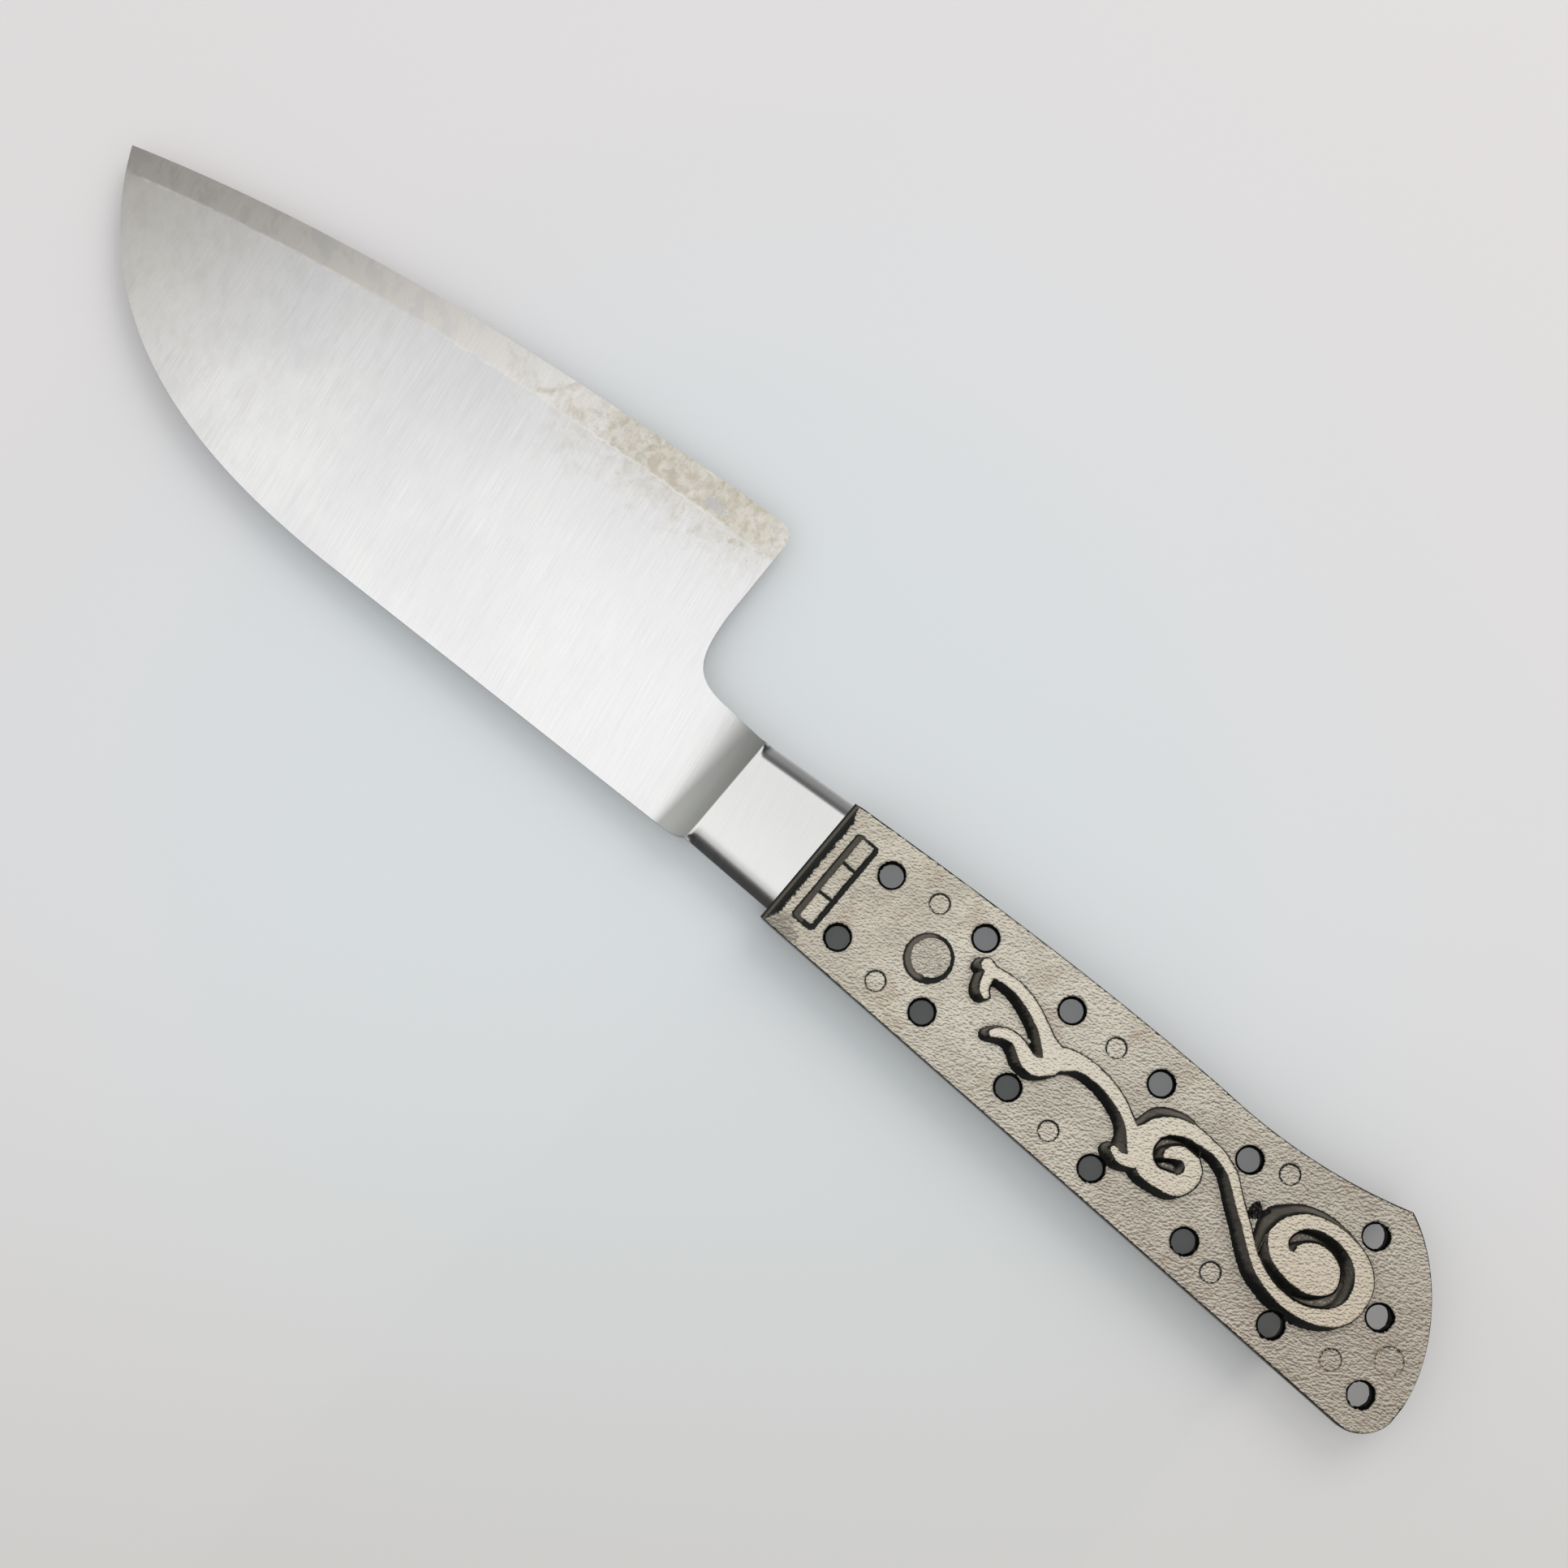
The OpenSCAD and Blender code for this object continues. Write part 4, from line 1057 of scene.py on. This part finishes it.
def stainedSteel(web, base, x, rise):
    # stains: pale olive clouds, browner hearts in them, and freckles higher up
    patch = web.noise(web.coords(), 0.30, 6.0, 0.66, 0.8)
    region = web.times(web.ramp(x, *stain["fade"]), web.ramp(rise, *stain["above"]))
    onBevel = web.times(web.ramp(rise, 1.03, 0.97), web.ramp(x, 150, 115, 0.0, 0.07))
    cover = web.times(
        web.ramp(web.plus(web.times(region, 0.5), patch, onBevel), 0.66, 1.14),
        web.ramp(rise, 0.98, 1.06, 1.0, 0.55), web.ramp(x, 97, 103, 0.5, 1.0))
    flake = web.ramp(web.noise(web.coords((1, 0.8, 1), 0.5), 0.6, 3.0, 0.6, 0.3), 0.45, 0.55)
    heart = web.plus(web.times(region, 0.3), web.noise(web.coords(), 0.55, 5.0, 0.65, 0.4))
    freckle = web.ramp(web.noise(web.coords(), 1.3, 5.0, 0.7), 0.58, 0.72)
    near = web.times(web.ramp(rise, 6.5, 1.2), web.ramp(x, 175, 110))
    line = web.times(
        web.ramp(rise, 0.96, 1.01), web.ramp(rise, 1.08, 1.03), web.ramp(x, 103, 110, 0.1, 1.0),
        web.ramp(flake, 0, 1, 0.2, 0.45))
    return web.coats(
        base, (cover, web.mix(flake, *stain["flakes"])),
        (web.times(web.ramp(heart, 0.80, 0.96), region, 0.55), stain["heart"]),
        (web.times(freckle, near, 0.25), stain["freckle"]),
        # a painted highlight: a thin bright line along the bevel's shoulder
        (line, steel["shoulder"]),
        (web.times(greySpot(web), 0.85), stain["spotGrey"]))


def bladeSteel():
    # fine brushing across the blade, a bevel, and thin stains along the edge from the heel forwards
    material, web, shader = newMaterial("brushedSteel")
    x, y, _ = web.parts(web.coords())
    wave = web.noise(web.coords(), 0.55, 3.0, 0.6)
    rise = web.plus(web.attribute("rise"), web.ramp(wave, 0.2, 0.8, -0.06, 0.06))
    brush = web.noise(web.coords((9.0, 0.12, 1), 0.17), 1.0, 2.0, 0.6)
    base = groundSteel(web, x, y, rise, wave, brush)
    web.fill(
        shader, Base_Color=stainedSteel(web, base, x, rise), Metallic=1.0,
        Roughness=web.ramp(brush, 0.2, 0.8, *steel["roughness"]), Normal=web.bump(brush, *steel["bump"]))
    return material


castLook, bladeLook, tangLook = castMetal(), bladeSteel(), plainTang()


# What each piece stands for, moves with and takes its finish from

def settle(piece, material, node):
    # gives a piece its material, hides the CAD part it stands for, and puts it under the root body
    piece.data.materials.append(material)
    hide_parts(node)
    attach(piece, "root")


settle(frontScale, castLook, "front_scale")
settle(backScale, castLook, "back_scale")
settle(bladePiece, bladeLook, "blade")
settle(tangPlate, tangLook, "blade")
for name, piece in pinPieces.items():
    settle(piece, castLook, name)
print("materials on", len(pinPieces) + 4, "pieces")


# Table top

table = dict(
    half=5, near=(0.765, 0.785, 0.795), far=(0.81, 0.77, 0.77), dim=(0.70, 0.675, 0.65),
    roughness=0.7, specular=0.2,
    # the share of its own colour that it shows the camera, which is painted light: on the handle's spine
    # side and its edge side, round the butt, and under the blade
    paintedGlow=(0.04, 0.19), paintedGlowButt=0.42, paintedGlowBlade=0.12,
)


def tableLook():
    material, web, shader = newMaterial("paleTable")
    # a little pinker away from the knife, and warmer and darker on the spine side, in painted shade as that
    # side gets less light
    cloud = web.noise(web.coords(), 0.004, 2.0)
    x, y, _ = web.parts(web.coords())
    away = web.plus(web.length(web.math("SUBTRACT", x, 60), y), web.ramp(cloud, 0.3, 0.7, -25, 25))
    colour = web.mix(web.ramp(away, 50, 180), table["near"], table["far"])
    colour = web.mix(web.ramp(web.along(x, y, buttward), -40, 105), colour, table["dim"])
    # showing the camera a share of its own colour is painted light: it softens shadows, and is least under
    # the handle's spine side and most round the butt, where it lightens the table seen through the holes;
    # the colour is darker by as much, so that the open table stays even
    paintedGlow = web.between(web.ramp(x, -40, -45), web.ramp(y, 4, -4, *table["paintedGlow"]), table["paintedGlowButt"])
    paintedGlow = web.between(web.ramp(x, 76, 62), table["paintedGlowBlade"], paintedGlow)
    colour = web.mix(web.math("DIVIDE", 0.92, web.plus(paintedGlow, 0.87)), (0, 0, 0), colour)
    toCamera = web.node("LightPath").outputs["Is Camera Ray"]
    web.fill(
        shader, Base_Color=colour, Roughness=table["roughness"], Specular_IOR_Level=table["specular"],
        Emission_Color=colour, Emission_Strength=web.times(toCamera, paintedGlow))
    return material


def buildFloor():
    # one square, its sides in metres
    h = table["half"]
    mesh = bpy.data.meshes.new("tableTop")
    mesh.from_pydata([(-h, -h, 0), (h, -h, 0), (h, h, 0), (-h, h, 0)], [], [(0, 1, 2, 3)])
    mesh.materials.append(tableLook())
    piece = newObject("tableTop", mesh)


buildFloor()


# Camera at the place worked out from the handle's holes

camera = dict(
    place=(25.85, 26.96, 436.6), aim=(72.03, -6.71, 6.6), up=(0.644, -0.765, 0),
    lens=63.36, sensor=36, clip=0.01,  # clip is in metres
)


def addCamera():
    # looks along its own minus Z, so that Z is back, X is right and Y is up in the picture
    data = bpy.data.cameras.new("camera")
    data.lens, data.sensor_width, data.clip_start = camera["lens"], camera["sensor"], camera["clip"]
    place, aim, up = (Vector(camera[k]) for k in ("place", "aim", "up"))
    back = (place - aim).normalized()
    right = up.cross(back).normalized()
    turn = Matrix((right, back.cross(right), back)).transposed().to_4x4()
    piece = newObject("camera", data)
    piece.matrix_world = Matrix.Translation(place * mm) @ turn
    bpy.context.scene.camera = piece


addCamera()


# Soft light from above, brightest overhead, and one broad lamp from the cutting-edge side

lamp = dict(place=(0.05, -1.05, 0.85), aim=(0.05, 0, 0), size=0.9, power=4.7, colour=(1.0, 0.955, 0.94))
sky = dict(
    centre=(0.03, 0.06), squash=1.15, edge=(0.355, 0.465),
    # from where to where the bright patch and the dim room change, how much, and which way the room does
    brightLean=(-0.22, 0.36), bright=(1.08, 0.5), farLean=(-0.95, 0.35), dim=(0.41, 0.05), far=(-0.9, 0.43),
    band=(0.47, 0.56), bandEnd=(0.70, 0.95), bandShare=0.5, walls=(0.43, 0.28, 0.0, 0.5),
    even=0.735, evenColour=(0.965, 1.0, 1.01),
)


def addLamp():
    # a disc whose minus Z is turned towards its aim; metal doesn't mirror it
    data = bpy.data.lights.new("edgeSideLamp", "AREA")
    data.shape, data.size, data.energy, data.color = "DISK", lamp["size"], lamp["power"], lamp["colour"]
    piece = newObject("edgeSideLamp", data)
    piece.location = lamp["place"]
    way = Vector(lamp["aim"]) - Vector(lamp["place"])
    piece.rotation_euler = way.to_track_quat("-Z", "Y").to_euler()
    piece.visible_glossy = False


def addWorld():
    # metal sees a bright patch overhead with a dim room round it, both darker towards one side,
    # and everything else sees even light
    world = bpy.data.worlds.new("studio")
    world.use_nodes = True
    web = Web(world.node_tree)
    web.nodes.clear()
    east, north, height = web.parts(web.node("TexCoord").outputs["Generated"])
    along = web.times(web.math("SUBTRACT", north, sky["centre"][1]), sky["squash"])
    away = web.length(web.math("SUBTRACT", east, sky["centre"][0]), along)
    bright = web.ramp(web.along(east, north, buttward), *sky["brightLean"], *sky["bright"])
    dim = web.ramp(web.along(east, north, sky["far"]), *sky["farLean"], *sky["dim"])
    # the walls of the room, near the horizon, are less dim
    dim = web.plus(dim, web.ramp(height, *sky["walls"]))
    patch = web.between(web.ramp(away, *sky["edge"]), bright, dim)
    # a darker band in the dim part, such as a beam or a shelf makes
    band = web.times(web.ramp(away, *sky["band"]), web.ramp(away, *sky["bandEnd"], sky["bandShare"], 0.0))
    patch = web.times(patch, web.math("SUBTRACT", 1.0, band))
    glossy = web.node("LightPath").outputs["Is Glossy Ray"]
    background = web.node(
        "Background", Color=web.mix(glossy, sky["evenColour"], (1, 1, 1)),
        Strength=web.between(glossy, sky["even"], patch))
    web.node("OutputWorld", Surface=background.outputs[0])
    bpy.context.scene.world = world


addWorld()
addLamp()
bpy.context.scene.view_settings.view_transform = "Standard"
print("camera, table and light are in place")
